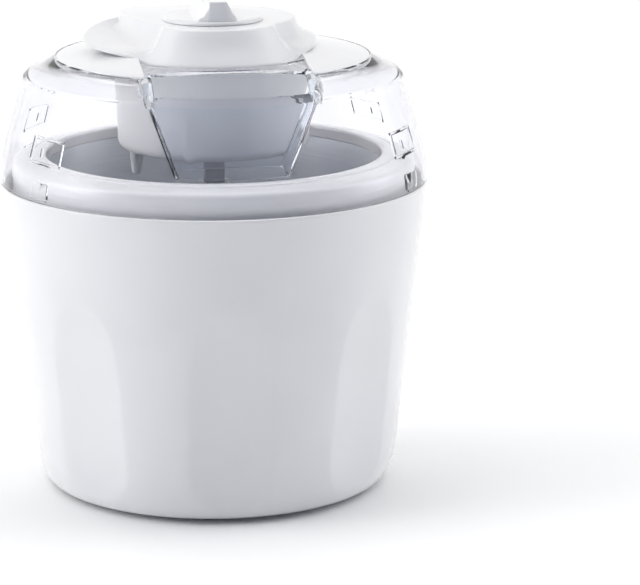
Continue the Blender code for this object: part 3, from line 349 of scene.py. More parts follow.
def soft_rubber(name, colour):
    return moulded(name, colour, 0.7, spread=0.01, texture=0.35, grain=1400.0)


def make_materials():
    return {
        "white_gloss": moulded("white_gloss_plastic", (0.785, 0.785, 0.80), 0.14, coat=0.25),
        "white_satin": moulded("white_satin_plastic", (0.78, 0.78, 0.79), 0.34, texture=0.12),
        "clear": clear_plastic("clear_plastic", (0.955, 0.955, 0.985), (0.965, 0.965, 0.992)),
        "hopper_clear": clear_plastic("hopper_clear_plastic", (0.93, 0.955, 0.990),
                                      (0.94, 0.965, 0.996)),
        "aluminium": turned_metal("spun_aluminium", (0.88, 0.90, 0.93), 0.42, 30.0),
        "steel": turned_metal("steel", (0.56, 0.56, 0.58), 0.28, 8.0, 0.2),
        "brass": turned_metal("brass", (0.72, 0.54, 0.27), 0.30, 8.0, 0.2),
        "rubber": soft_rubber("black_rubber", (0.035, 0.035, 0.035)),
        "grey_rubber": soft_rubber("grey_rubber", (0.42, 0.43, 0.45)),
        "acetal": moulded("acetal", (0.78, 0.77, 0.71), 0.38, texture=0.15),
        "black_plastic": moulded("black_plastic", (0.03, 0.03, 0.03), 0.4, texture=0.2),
        "gel": moulded("coolant_gel", (0.33, 0.52, 0.72), 0.25),
    }


# ---------------------------------------------------------------- housing


CONE_RADIUS_AT_TABLE = 95.1 * MM
CONE_SLOPE = 0.1078
HOUSING_WALL = 2.5 * MM
FOOT_ROUND_HEIGHT = 22.0 * MM
FOOT_ROUND_DEPTH = 7.3 * MM
FLAT_COUNT = 8
FLAT_TURN = math.radians(-2.0)
FLAT_TOP_Z = 114.0 * MM
FLAT_DEPTH = 2.35 * MM
FLAT_RUN = 13.0 * MM
FLAT_CREASE = 0.10 * MM
HOUSING_EDGE = 0.7 * MM
SHELF_INNER_RADIUS = 62.0 * MM
SHELF_OUTER_RADIUS = 87.0 * MM
SHELF_TOP_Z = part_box("bowl_outer_wall")[0][2] - GAP


def cone_radius(z):
    """Radius of the housing's outer cone at a height."""
    return CONE_RADIUS_AT_TABLE + CONE_SLOPE * z


def smallest(first, second, width):
    """Smooth minimum: the crease between the two is a small radius."""
    blend = max(width - abs(first - second), 0.0) / width
    return min(first, second) - blend * blend * width / 4


def housing_radius(azimuth, z):
    """Outer radius: the cone with its rounded foot, cut by the flats."""
    pitch = FULL / FLAT_COUNT
    offset = (azimuth - FLAT_TURN + pitch / 2) % pitch - pitch / 2
    if z < FLAT_TOP_Z:
        depth = FLAT_DEPTH * (1 - math.exp(-(FLAT_TOP_Z - z) / FLAT_RUN))
    else:
        depth = (FLAT_TOP_Z - z) * FLAT_DEPTH / FLAT_RUN
    start = HOUSING_LOW[2] + FOOT_ROUND_HEIGHT
    inset = 0.0
    if z < start:
        part = min(1.0, (start - z) / FOOT_ROUND_HEIGHT)
        inset = FOOT_ROUND_DEPTH * (1 - math.sqrt(max(0.0, 1 - part * part)))
    flat = (cone_radius(z) - depth) / math.cos(offset)
    return smallest(cone_radius(z) - inset, flat, FLAT_CREASE)


def housing_outline(azimuth):
    """Outside from the top edge to the foot, then the shelf and the inside up again."""
    top = HOUSING_HIGH[2]
    bottom = HOUSING_LOW[2]
    outer_top = cone_radius(top)
    points = []
    edge_steps = 4
    for step in range(edge_steps + 1):
        turn = math.pi / 2 * step / edge_steps
        points.append((outer_top - HOUSING_EDGE * (1 - math.sin(turn)),
                       top - HOUSING_EDGE * (1 - math.cos(turn))))
    rows = 84
    start = bottom + FOOT_ROUND_HEIGHT
    for step in range(1, rows):
        z = top - HOUSING_EDGE + (start - top + HOUSING_EDGE) * step / rows
        points.append((housing_radius(azimuth, z), z))
    foot_steps = 12
    for step in range(foot_steps + 1):
        z = bottom + FOOT_ROUND_HEIGHT * (1 - math.sin(math.pi / 2 * step / foot_steps))
        points.append((housing_radius(azimuth, z), z))
    lip = radius_of("base_plate") + GAP
    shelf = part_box("base_plate")[1][2] + GAP
    points += [(lip, bottom), (lip, shelf), (SHELF_INNER_RADIUS, shelf),
               (SHELF_INNER_RADIUS, SHELF_TOP_Z), (SHELF_OUTER_RADIUS, SHELF_TOP_Z)]
    for z in (18 * MM, 40 * MM, 70 * MM, 100 * MM, 125 * MM, 150 * MM):
        points.append((housing_radius(azimuth, z) - HOUSING_WALL, z))
    points.append((outer_top - HOUSING_WALL, top))
    return points


def build_housing(mats):
    shell = round_body("housing", housing_outline, 360, smooth_angle=50)
    finish_piece(shell, "housing_shell", "housing", mats["white_gloss"])


# ---------------------------------------------------------------- freezer bowl


def build_bowl(mats):
    build_collar(mats)
    build_bowl_inside(mats)
    build_bowl_outside(mats)


def build_collar(mats):
    """White collar: upright inner lip, groove for the lid, and a soft outer shoulder."""
    top = RIM_HIGH[2]
    rim = radius_of("bowl_rim")
    skin_top = BOWL_HIGH[2]
    inner = 88.3 * MM
    under = skin_top + GAP
    outline = [
        (inner, under), (inner, top - 0.9 * MM), (inner + 1.0 * MM, top), (92.8 * MM, top),
        (95.2 * MM, top - 0.35 * MM), (95.9 * MM, top - 1.4 * MM), (96.7 * MM, top - 0.7 * MM),
        (102.2 * MM, top - 1.6 * MM), (105.2 * MM, top - 3.0 * MM), (rim, top - 6.0 * MM),
        (rim, RIM_LOW[2]), (rim - 2.4 * MM, RIM_LOW[2]), (rim - 2.4 * MM, under),
    ]
    radii = {1: 0.8 * MM, 2: 0.8 * MM, 3: 1.0 * MM, 4: 0.5 * MM, 5: 0.3 * MM, 6: 0.5 * MM,
             7: 2.0 * MM, 8: 1.6 * MM, 9: 2.0 * MM, 10: 0.5 * MM, 11: 0.5 * MM}
    collar = lathe("bowl_collar", rounded(outline, radii), 256)
    finish_piece(collar, "bowl_rim", "bowl", mats["white_gloss"])


def build_bowl_inside(mats):
    """Thin metal skin with a rounded corner round its floor."""
    skin_top = BOWL_HIGH[2]
    skin = BOWL_SKIN
    floor = BOWL_LOW[2] + skin
    inside = [(0.5 * MM, floor), (12 * MM, floor), (30 * MM, floor), (50 * MM, floor),
              (69 * MM, floor), (77.0 * MM, floor + 8 * MM), (82.8 * MM, floor + 75 * MM),
              (88.5 * MM, skin_top)]
    outside = [(89.7 * MM, skin_top), (84.0 * MM, floor + 75 * MM),
               (78.2 * MM, floor + 7.6 * MM), (69.6 * MM, floor - skin), (0.5 * MM, floor - skin)]
    cup = rounded(inside + outside, {4: 5 * MM, 5: 5 * MM, 10: 5 * MM, 11: 5 * MM}, 6)
    wall = lathe("bowl_inside", cup, 256)
    finish_piece(wall, "bowl_inner_wall", "bowl", mats["aluminium"])


def build_bowl_outside(mats):
    """Smooth outer skin of the bowl, seen when the bowl is lifted out."""
    low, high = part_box("bowl_outer_wall")
    rim = radius_of("bowl_outer_wall")
    skin = BOWL_SKIN
    hole = 6.0 * MM

    def run(inset):
        bottom = low[2] + inset
        return [(76.0 * MM - inset * 0.4, bottom), (82.0 * MM - inset * 0.7, bottom + 2.2 * MM),
                (85.2 * MM - inset, bottom + 6.5 * MM), (rim - inset, high[2])]

    outline = [(hole, low[2])] + run(0.0) + run(skin)[::-1] + [(hole, low[2] + skin)]
    soft = {1: 3 * MM, 2: 3 * MM, 3: 3 * MM, 6: 2 * MM, 7: 2 * MM, 8: 2 * MM}
    outside = lathe("bowl_outside", rounded(outline, soft, 6), 256)
    finish_piece(outside, "bowl_outer_wall", "bowl", mats["white_satin"])


# ---------------------------------------------------------------- lid


LID_WALL = 2.2 * MM
SKIRT_RADIUS = (COVER_HIGH[0] - COVER_LOW[0]) / 2
SKIRT_ROOT_RADIUS = 56.0 * MM
SKIRT_Z = 229.8 * MM
SKIRT_ROOT_Z = 233.5 * MM
SKIRT_THICKNESS = 1.5 * MM
LID_OPENING_RADIUS = 53.4 * MM
LID_EDGE_RADIUS = 99.7 * MM
LID_EDGE_Z = 219.0 * MM
SHOULDER_RADIUS = 97.5 * MM
SHOULDER_Z = 221.2 * MM
LIP_ROOM_RADIUS = 56.6 * MM
LIP_ROOM_HALF_ANGLE = math.radians(58)
LOCK_AZIMUTHS = (-120, -60, 60, 120)
# Frame, slit and lug of a lock: from and to in degrees, then the lower and upper height in mm.
LOCK_BLOCKS = ((-7.0, 7.0, 195.0, 196.2), (-7.0, 7.0, 183.0, 184.2), (-7.0, -6.4, 183.6, 195.6),
               (6.4, 7.0, 183.6, 195.6), (-2.0, -1.2, 186.5, 191.0), (-3.6, 3.6, 166.0, 174.0))
BLOCK_DEPTH = 1.0 * MM
BLOCK_ROOT = 0.8 * MM
HOPPER_TOP_HALF = 42.5 * MM
HOPPER_BOTTOM_HALF = 27.5 * MM
HOPPER_TOP_FRONT = 95.5 * MM
HOPPER_BOTTOM_FRONT = 90.0 * MM
HOPPER_TOP_Z = 222.5 * MM
HOPPER_BOTTOM_Z = 180.6 * MM
HOPPER_BACK_Y = -61.0 * MM
HOPPER_WALL = 2.0 * MM
RAIL_RADIUS = 2.9 * MM
RAIL_HALF_HEIGHT = 2.6 * MM
SHARP_DEGREES = 50


def skirt_z(radius):
    """Height of the motor unit's skirt at a radius."""
    part = (radius - SKIRT_ROOT_RADIUS) / (SKIRT_RADIUS - SKIRT_ROOT_RADIUS)
    return SKIRT_ROOT_Z + (SKIRT_Z - SKIRT_ROOT_Z) * part


def seat_z(radius):
    """Height of the lid's seat below the skirt at a radius."""
    return skirt_z(radius) - SKIRT_THICKNESS - GAP


def lid_outer_run():
    """Outside of the lid's wall and shoulder, from the bottom up."""
    low = LID_LOW[2]
    outer = radius_of("lid")
    return [(outer, low), (outer, low + 6 * MM), (111.4 * MM, 177.0 * MM),
            (109.3 * MM, 185.5 * MM), (105.6 * MM, 198.0 * MM), (101.1 * MM, 212.7 * MM),
            (LID_EDGE_RADIUS, LID_EDGE_Z), (SHOULDER_RADIUS, SHOULDER_Z),
            (SKIRT_RADIUS + GAP, SKIRT_Z)]


def lid_inner_run():
    """Inside of the lid's wall, from the top down."""
    low = LID_LOW[2]
    inner = radius_of("lid") - LID_WALL
    return [(96.3 * MM, 219.4 * MM), (98.0 * MM, 214.0 * MM), (103.2 * MM, 197.5 * MM),
            (107.0 * MM, 185.0 * MM), (109.1 * MM, 176.6 * MM), (inner, low + 5.6 * MM),
            (inner, low)]


def lid_outline():
    """Closed outline of the lid: outside, seat for the skirt, underside, inside."""
    step = SKIRT_RADIUS + GAP
    edge = LID_OPENING_RADIUS
    wall = LID_WALL
    seat = [(step, seat_z(step)), (edge, seat_z(edge))]
    under = [(edge, seat_z(edge) - wall), (step, seat_z(step) - wall)]
    radii = {0: 0.5 * MM, 1: 2.5 * MM, 2: 4 * MM, 3: 4 * MM, 4: 6 * MM, 5: 3 * MM, 6: 0.8 * MM,
             7: 0.8 * MM, 8: 0.4 * MM, 10: 0.6 * MM, 11: 0.6 * MM, 13: 1 * MM, 14: 2 * MM,
             15: 6 * MM, 16: 4 * MM, 17: 4 * MM, 18: 2.5 * MM, 19: 0.5 * MM}
    return rounded(lid_outer_run() + seat + under + lid_inner_run(), radii)


def radius_on(run, z):
    """Radius at a height on a run of (radius, z) points."""
    for (first, low), (second, high) in zip(run, run[1:]):
        if min(low, high) <= z <= max(low, high) and low != high:
            return first + (second - first) * (z - low) / (high - low)
    return run[-1][0]


def hopper_outline(half, front, back_y, corner):
    """Plan outline: straight sides, a front on the lid's curve, and rounded front corners."""
    span = math.asin(half / front)
    steps = 24
    arc = [plan_point(front, -span + 2 * span * step / steps) for step in range(steps + 1)]
    outline = [(-half, back_y)] + arc + [(half, back_y)]
    return rounded(outline, {0: 1.5 * MM, 1: corner, len(outline) - 2: corner,
                             len(outline) - 1: 1.5 * MM}, 6)


def hopper_body(name, grow, low_z, high_z):
    """The hopper's tapered room between two heights, with its sides moved out by grow."""
    def at(z):
        part = (z - HOPPER_BOTTOM_Z) / (HOPPER_TOP_Z - HOPPER_BOTTOM_Z)
        half = HOPPER_BOTTOM_HALF + (HOPPER_TOP_HALF - HOPPER_BOTTOM_HALF) * part + grow
        front = HOPPER_BOTTOM_FRONT + (HOPPER_TOP_FRONT - HOPPER_BOTTOM_FRONT) * part + grow
        return hopper_outline(half, front, HOPPER_BACK_Y + grow, 3.0 * MM + grow)
    return loft(name, at(low_z), at(high_z), low_z, high_z)


def wall_block(name, start, end, low, high):
    """A block on the inside of the lid's wall between two azimuths (degrees) and two heights."""
    run = lid_inner_run()
    steps = 5
    points = []
    for z in (low, high):
        surface = radius_on(run, z)
        for radius in (surface - BLOCK_DEPTH, surface + BLOCK_ROOT):
            for step in range(steps + 1):
                azimuth = math.radians(start + (end - start) * step / steps)
                points.append((*plan_point(radius, azimuth), z))
    row = steps + 1
    faces = []
    for step in range(steps):
        for first, second in ((0, 1), (2, 3), (0, 2), (1, 3)):
            a, b = first * row + step, second * row + step
            faces.append((a, a + 1, b + 1, b))
    for step in (0, steps):
        faces.append((step, row + step, 3 * row + step, 2 * row + step))
    return new_piece(name, points, faces)


def add_lock_windows(lid):
    """Moulded frame, slit and lug of each bayonet lock, on the inside of the lid's wall."""
    for azimuth in LOCK_AZIMUTHS:
        for start, end, low, high in LOCK_BLOCKS:
            block = wall_block("lock_frame", azimuth + start, azimuth + end, low * MM, high * MM)
            combine(lid, block, "UNION")


def hopper_rail(side):
    """Thick rounded lip along the top of one side wall of the hopper."""
    rows = 30
    ring = 20
    front_y, back_y = -91.0 * MM, -60.5 * MM
    middle_x = HOPPER_TOP_HALF - 0.6 * MM
    sink = 1.6 * MM
    points = []
    for row in range(rows + 1):
        y = front_y + (back_y - front_y) * row / rows
        radius = math.hypot(HOPPER_TOP_HALF, y)
        if radius > SKIRT_RADIUS:
            part = (radius - SKIRT_RADIUS) / (SHOULDER_RADIUS - SKIRT_RADIUS)
            surface = SKIRT_Z + (SHOULDER_Z - SKIRT_Z) * part
        else:
            surface = skirt_z(radius)
        nearness = min(row, rows - row) / 3
        size = max(0.2, math.sqrt(1 - (1 - min(1.0, nearness)) ** 2))
        for corner in range(ring):
            turn = FULL * corner / ring
            x = middle_x + RAIL_RADIUS * size * math.cos(turn)
            z = surface - sink + RAIL_HALF_HEIGHT * size * math.sin(turn)
            points.append((side * x, y, z))
    faces = [tuple(range(ring)), tuple(range(rows * ring, rows * ring + ring))]
    for row in range(rows):
        for corner in range(ring):
            after = (corner + 1) % ring
            faces.append((row * ring + corner, row * ring + after,
                          (row + 1) * ring + after, (row + 1) * ring + corner))
    return new_piece("hopper_rail", points, faces, 60)


def lid_envelope():
    """Solid just inside the lid's outside, which trims the hopper's walls."""
    inset = 0.2 * MM
    seat_inset = 0.4 * MM
    axis = 0.01 * MM
    below = LID_LOW[2] - 10 * MM
    wall = [(radius - inset, z - inset) for radius, z in lid_outer_run()[2:-1]]
    top = seat_z(LID_OPENING_RADIUS) - seat_inset
    seat = [(SKIRT_RADIUS, seat_z(SKIRT_RADIUS) - seat_inset), (LID_OPENING_RADIUS, top)]
    return lathe("lid_envelope", [(axis, below), (109 * MM, below)] + wall + seat + [(axis, top)],
                 128)


def build_lid(mats):
    lid = lathe("clear_lid", lid_outline(), 256)
    walls = hopper_body("hopper_walls", HOPPER_WALL, HOPPER_BOTTOM_Z, SKIRT_Z)
    above = SKIRT_ROOT_Z + 5 * MM
    combine(walls, lid_envelope(), "INTERSECT")
    combine(lid, walls, "UNION")
    add_lock_windows(lid)
    combine(lid, hopper_body("chute", 0.0, HOPPER_BOTTOM_Z - 4 * MM, above), "DIFFERENCE")
    combine(lid, lip_room(above), "DIFFERENCE")
    for side in (-1, 1):
        combine(lid, hopper_rail(side), "UNION")
    bevel = lid.modifiers.new("bevel", "BEVEL")
    bevel.width = 0.6 * MM
    bevel.segments = 3
    bevel.limit_method = "ANGLE"
    bevel.angle_limit = math.radians(SHARP_DEGREES)
    bevel.use_clamp_overlap = True
    apply_modifiers(lid)
    lid.data.shade_smooth()
    lid.data.set_sharp_from_angle(angle=math.radians(SHARP_DEGREES))
    finish_piece(lid, "lid", "lid", mats["clear"])
    lid.data.materials.append(mats["hopper_clear"])
    for face in lid.data.polygons:
        face.material_index = int(in_hopper(face.center))


def in_hopper(point):
    """True on the hopper's own walls, which look a little cooler than the rest of the lid."""
    across = abs(point.x) < HOPPER_TOP_HALF + HOPPER_WALL
    behind_shoulder = math.hypot(point.x, point.y) < HOPPER_TOP_FRONT + HOPPER_WALL
    return across and behind_shoulder and point.y < HOPPER_BACK_Y + HOPPER_WALL


def lip_room(above):
    """Room in the lid for the low front lip of the motor unit's cover."""
    span = LIP_ROOM_HALF_ANGLE
    steps = 40
    outline = [(0.0, 0.0)] + [plan_point(LIP_ROOM_RADIUS, -span + 2 * span * step / steps)
                              for step in range(steps + 1)]
    return loft("lip_room", outline, outline, LID_EDGE_Z, above)


# ---------------------------------------------------------------- motor unit


# The cover's plateau, the foot of its sides and its lip, each as (azimuth in degrees, mm): the
# wing and the scoop are on the left, between -160 and -50.
PLATEAU_RADIUS = [(-180, 52), (-158, 55), (-142, 61.5), (-131, 60), (-113, 46), (-92, 37),
                  (-70, 33.5), (-54, 34.5), (-46, 39.5), (0, 39), (44, 39.5), (54, 37), (80, 41),
                  (105, 46), (130, 50), (155, 52)]
FOOT_RADIUS_KEYS = [(-180, 54.5), (-158, 57), (-142, 63), (-131, 61.5), (-113, 49), (-92, 41.5),
                    (-70, 39), (-54, 40.5), (-46, 45.5), (0, 45), (44, 45.5), (54, 42.5),
                    (80, 45), (105, 49), (130, 53), (155, 54.5)]
FOOT_Z_KEYS = [(-180, 242), (-158, 242), (-142, 241.5), (-131, 240), (-113, 238), (-92, 236.8),
               (-70, 236.4), (-54, 237), (-46, 239), (0, 239), (44, 239), (54, 238), (80, 239),
               (105, 241), (130, 242), (155, 242)]
LIP_RADIUS = [(-180, 57), (-158, 60), (-142, 64), (-124, 66), (-104, 67.5), (-86, 68), (-70, 62),
              (-57, 56.5), (-46, 53.4), (0, 52.6), (46, 53.2), (66, 54), (84, 54), (105, 56),
              (130, 57), (155, 57)]
LIP_Z = [(-180, 237.8), (-158, 240.4), (-142, 243), (-124, 242.6), (-104, 240.4), (-86, 237.8),
         (-70, 236.2), (-58, 234.8), (-46, 231.4), (-30, 231), (0, 231), (30, 231), (46, 231.4),
         (58, 235), (70, 236.4), (84, 237.6), (105, 238), (130, 237.8), (155, 237.6)]
COVER_TOP_Z = DIAL_LOW[2] - GAP
COVER_BOTTOM_Z = CUP_HIGH[2] + GAP
COVER_WALL = 2.2 * MM
COVER_LIP_THICKNESS = 1.3 * MM
CUP_RADIUS = radius_of("motor_cup")
CUP_BOTTOM_Z = 181.0 * MM
CUP_WALL = 2.0 * MM
CUP_FLOOR = 2.4 * MM
PEG_AZIMUTHS = (-70, 110)
PEG_RING = 45.0 * MM
PEG_LENGTH = 11.0 * MM


def cover_outline(azimuth):
    """Closed outline of the cover at one azimuth: plateau, side, lip, underside, inside."""
    degrees = math.degrees(azimuth)
    if degrees > 180:
        degrees -= 360
    plateau = along_keys(PLATEAU_RADIUS, degrees) * MM
    foot = (along_keys(FOOT_RADIUS_KEYS, degrees) * MM, along_keys(FOOT_Z_KEYS, degrees) * MM)
    lip = (along_keys(LIP_RADIUS, degrees) * MM, along_keys(LIP_Z, degrees) * MM)
    thickness = COVER_LIP_THICKNESS
    root = min(lip[0] - 0.9 * MM, SKIRT_ROOT_RADIUS)
    root_z = min(skirt_z(root) - 0.4 * MM, lip[1] - thickness)
    inner = CUP_RADIUS - CUP_WALL
    top_inside = COVER_TOP_Z - COVER_WALL
    outline = [
        (0.3 * MM, COVER_TOP_Z),
        (plateau * 0.5, COVER_TOP_Z),
        (plateau, COVER_TOP_Z),
        foot,
        (lip[0] - 0.4 * MM, lip[1] + 0.2 * MM),
        (lip[0], lip[1] - thickness),
        (root, root_z),
        (CUP_RADIUS + 0.2 * MM, COVER_BOTTOM_Z),
        (inner, COVER_BOTTOM_Z),
        (min(foot[0] - 2.4 * MM, inner - 0.4 * MM), min(foot[1] - 1.8 * MM, 236.0 * MM)),
        (min(plateau - 2.4 * MM, foot[0] - 3.2 * MM), top_inside),
        (0.3 * MM, top_inside),
    ]
    radii = {2: 1.0 * MM, 3: 5 * MM, 4: 0.8 * MM, 5: 0.6 * MM, 6: 1.2 * MM}
    return rounded(outline, radii, 8)


def skirt_piece():
    """The shallow cone around the cover, open in front for the hopper."""
    rows = 18
    columns = 240
    inner = 52.9 * MM
    outer = SKIRT_RADIUS
    half = HOPPER_TOP_HALF
    edge = 0.35 * MM

    def edge_azimuth(radius):
        return math.asin(min(0.999, half / radius))

    sheet = []
    for column in range(columns + 1):
        line = []
        for row in range(rows + 1):
            radius = inner + (outer - inner) * row / rows
            start = edge_azimuth(radius)
            azimuth = start + (FULL - 2 * start) * column / columns
            x, y = plan_point(radius, azimuth)
            ease = min(row, rows - row, 2) / 2
            edge_drop = edge * (1 - ease) ** 2
            line.append((x, y, skirt_z(radius) - edge_drop))
        sheet.append(line)
    points = []
    for line in sheet:
        points += line
    upper = len(points)
    for line in sheet:
        points += [(x, y, z - SKIRT_THICKNESS + edge) for x, y, z in line]
    faces = []
    width = rows + 1
    for column in range(columns):
        for row in range(rows):
            a = column * width + row
            b = a + width
            faces.append((a, a + 1, b + 1, b))
            faces.append((upper + a, upper + b, upper + b + 1, upper + a + 1))
        for row in (0, rows):
            a = column * width + row
            b = a + width
            faces.append((a, b, upper + b, upper + a))
    for column in (0, columns):
        for row in range(rows):
            a = column * width + row
            faces.append((a, a + 1, upper + a + 1, upper + a))
    return new_piece("cover_skirt", points, faces)


def build_cover(mats):
    cover = round_body("cover_top", cover_outline, 360, smooth_angle=60)
    finish_piece(cover, "motor_cover", "motor_unit", mats["white_gloss"])
    add_detail(skirt_piece(), "motor_unit", mats["white_gloss"])


def build_cup(mats):
    """Round cup with a hole for the shaft in its floor and two pegs below it."""
    low, high = CUP_BOTTOM_Z, CUP_HIGH[2]
    hole = 7.0 * MM
    outline = [(hole, low), (CUP_RADIUS - 0.6 * MM, low), (CUP_RADIUS, high),
               (CUP_RADIUS - CUP_WALL, high), (CUP_RADIUS - 2.8 * MM, low + CUP_FLOOR),
               (hole, low + CUP_FLOOR)]
    cup = lathe("cup", rounded(outline, {1: 5.5 * MM, 4: 3 * MM}, 8), 192)
    for azimuth in PEG_AZIMUTHS:
        centre = plan_point(PEG_RING, math.radians(azimuth))
        peg = [(0.2 * MM, low - PEG_LENGTH), (2.3 * MM, low - PEG_LENGTH),
               (3.6 * MM, low + 1 * MM), (0.2 * MM, low + 1 * MM)]
        combine(cup, lathe("peg", rounded(peg, {1: 1.4 * MM}, 5), 32, centre), "UNION")
    finish_piece(cup, "motor_cup", "motor_unit", mats["white_satin"])


# ---------------------------------------------------------------- dial


DISC_HEIGHT = 1.8 * MM


def fin_height(x):
    """Height of the fin over the disc at a distance from its middle line."""
    high = DIAL_HIGH[2] - DIAL_LOW[2] - DISC_HEIGHT
    left_top, left_foot = -4.4 * MM, -11.5 * MM
    right_top, right_foot = 4.6 * MM, 10.5 * MM
    if x < left_foot or x > right_foot:
        return 0.0
    if x < left_top:
        part = (left_top - x) / (left_top - left_foot)
        return high * (1 - part ** 0.42)
    if x <= right_top:
        return high
    return high * (1 - (x - right_top) / (right_foot - right_top))


def build_dial(mats):
    """Flat disc with an upright fin across it."""
    low = DIAL_LOW[2]
    rim = radius_of("dial_knob")
    disc_top = low + DISC_HEIGHT
    radii = [0.2 * MM + (rim - 1.6 * MM) * step / 44 for step in range(45)]
    edge = [(rim - 1.2 * MM, disc_top - 0.12 * MM), (rim - 0.7 * MM, disc_top - 0.45 * MM),
            (rim - 0.3 * MM, disc_top - 0.9 * MM), (rim, low + 0.1 * MM),
            (rim - 0.2 * MM, low - 0.2 * MM), (0.2 * MM, low - 0.2 * MM)]
    half_length = rim - 2.4 * MM

    def outline_at(azimuth):
        points = []
        for radius in radii:
            x, y = plan_point(radius, azimuth)
            reach = abs(y) - half_length * math.sqrt(max(0.05, 1 - (x / rim) ** 2))
            fade = min(1.0, max(0.0, 1 - reach / (1.0 * MM)))
            fade = fade * fade * (3 - 2 * fade)
            points.append((radius, disc_top + fin_height(x) * fade))
        return points + edge

    knob = round_body("knob", outline_at, 320, smooth_angle=35)
    finish_piece(knob, "dial_knob", "dial", mats["white_gloss"])


# ---------------------------------------------------------------- carried-over nodes


def dress_nodes(mats):
    """Gives every CAD node that still shows its procedural material."""
    for entry in frame["record"]["subparts"]:
        node = frame["nodes"][entry["node"]]
        node.data.materials.clear()
        node.data.materials.append(mats[entry["material_slot"]])


# ---------------------------------------------------------------- studio


# Colour of the surroundings against the cosine of the angle from the front: white behind, a
# bright arch over both sides, and a dark bluish card in front.
SURROUNDINGS = ((-1.0, (1.05, 1.05, 1.05)), (-0.5, (1.0, 1.0, 1.0)), (0.0, (4.0, 4.0, 4.0)),
                (0.3, (1.45, 1.45, 1.45)), (0.5, (0.05, 0.05, 0.06)), (0.75, (0.04, 0.05, 0.08)),
                (1.0, (0.25, 0.32, 0.5)))
BRIGHTEST = 4.0
CARD_AZIMUTH = math.radians(1.5)
FADE_TO_RIGHT = -0.09
FADE_UPWARDS = -0.40


def world_math(tree, operation, first, second):
    """A Math node on two values or sockets."""
    node = tree.nodes.new("ShaderNodeMath")
    node.operation = operation
    for socket, value in zip(node.inputs, (first, second)):
        if isinstance(value, float):
            socket.default_value = value
        else:
            tree.links.new(value, socket)
    return node.outputs["Value"]


def build_world():
    """Soft white light from an arch over both sides, with a plain white backdrop."""
    world = bpy.data.worlds.new("studio")
    world.use_nodes = True
    bpy.context.scene.world = world
    tree = world.node_tree
    background = tree.nodes["Background"]
    coords = tree.nodes.new("ShaderNodeTexCoord")
    towards = tree.nodes.new("ShaderNodeVectorMath")
    towards.operation = "DOT_PRODUCT"
    towards.inputs[1].default_value = (*plan_point(1.0, CARD_AZIMUTH), 0.0)
    tree.links.new(coords.outputs["Generated"], towards.inputs[0])
    place = world_math(tree, "MULTIPLY_ADD", towards.outputs["Value"], 0.5)
    place.node.inputs[2].default_value = 0.5
    ramp = tree.nodes.new("ShaderNodeValToRGB")
    stops = ramp.color_ramp.elements
    for cosine, _ in SURROUNDINGS[1:-1]:
        stops.new((cosine + 1) / 2)
    for stop, (cosine, colour) in zip(stops, SURROUNDINGS):
        stop.position = (cosine + 1) / 2
        stop.color = (*[level / BRIGHTEST for level in colour], 1)
    tree.links.new(place, ramp.inputs["Fac"])
    fade = tree.nodes.new("ShaderNodeVectorMath")
    fade.operation = "DOT_PRODUCT"
    fade.inputs[1].default_value = (FADE_TO_RIGHT * BRIGHTEST, 0.0, FADE_UPWARDS * BRIGHTEST)
    tree.links.new(coords.outputs["Generated"], fade.inputs[0])
    level = world_math(tree, "ADD", fade.outputs["Value"], BRIGHTEST)
    path = tree.nodes.new("ShaderNodeLightPath")
    seen = path.outputs["Is Camera Ray"]
    mix = tree.nodes.new("ShaderNodeMixRGB")
    tree.links.new(seen, mix.inputs["Fac"])
    tree.links.new(ramp.outputs["Color"], mix.inputs["Color1"])
    mix.inputs["Color2"].default_value = (1.0, 1.0, 1.0, 1)
    tree.links.new(mix.outputs["Color"], background.inputs["Color"])
    lit = world_math(tree, "MULTIPLY", level, world_math(tree, "SUBTRACT", 1.0, seen))
    tree.links.new(world_math(tree, "ADD", lit, seen), background.inputs["Strength"])


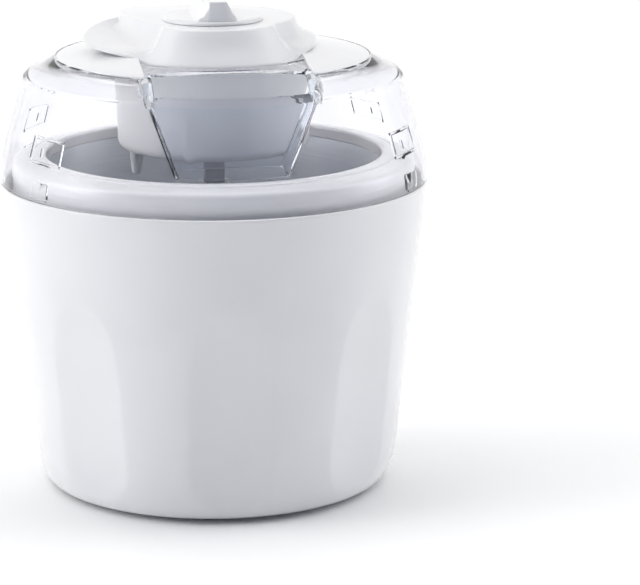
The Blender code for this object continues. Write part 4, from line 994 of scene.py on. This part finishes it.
def area_light(name, location, target, size, energy):
    """Rectangular lamp that points at a target."""
    data = bpy.data.lights.new(name, "AREA")
    data.shape = "RECTANGLE"
    data.size, data.size_y = size
    data.energy = energy
    light = bpy.data.objects.new(name, data)
    light.location = location
    light.rotation_mode = "QUATERNION"
    light.rotation_quaternion = (Vector(target) - Vector(location)).to_track_quat("-Z", "Y")
    bpy.context.collection.objects.link(light)


def build_studio():
    build_world()
    middle = (0, 0, 0.15)
    area_light("left_softbox", (-1.1, -0.2, 0.75), middle, (0.4, 0.9), 0.6)
    area_light("top_softbox", (-0.1, 0.3, 1.3), middle, (0.8, 0.5), 0.6)
    floor_mesh = bpy.data.meshes.new("floor")
    reach = 30.0
    floor_mesh.from_pydata([(-reach, -reach, 0), (reach, -reach, 0), (reach, reach, 0),
                            (-reach, reach, 0)], [], [(0, 1, 2, 3)])
    floor = bpy.data.objects.new("floor", floor_mesh)
    bpy.context.collection.objects.link(floor)
    floor_mesh.materials.append(moulded("floor_white", (0.965, 0.965, 0.97), 0.6, spread=0.003))


# ---------------------------------------------------------------- camera


CAMERA_AZIMUTH = -6.5
CAMERA_DISTANCE = 1.60
CAMERA_HEIGHT = 0.4912
CAMERA_LENS = 173.34
AIM_RIGHT = 0.0561
AIM_UP = 0.1001


def build_camera():
    """A long lens, slightly to the left of the front and a little above the object."""
    data = bpy.data.cameras.new("camera")
    data.lens = CAMERA_LENS
    data.sensor_width = 36.0
    data.clip_start = 0.05
    data.clip_end = 100.0
    camera = bpy.data.objects.new("camera", data)
    azimuth = math.radians(CAMERA_AZIMUTH)
    across = Vector((math.cos(azimuth), math.sin(azimuth), 0.0))
    back = Vector((math.sin(azimuth), -math.cos(azimuth), 0.0))
    camera.location = back * CAMERA_DISTANCE + Vector((0, 0, CAMERA_HEIGHT))
    aim = across * AIM_RIGHT + Vector((0, 0, AIM_UP))
    camera.rotation_mode = "QUATERNION"
    camera.rotation_quaternion = (aim - camera.location).to_track_quat("-Z", "Y")
    bpy.context.collection.objects.link(camera)
    bpy.context.scene.camera = camera
    bpy.context.scene.view_settings.view_transform = "Standard"


def main():
    mats = make_materials()
    build_camera()
    build_studio()
    dress_nodes(mats)
    build_housing(mats)
    build_bowl(mats)
    build_lid(mats)
    build_cup(mats)
    build_cover(mats)
    build_dial(mats)


main()
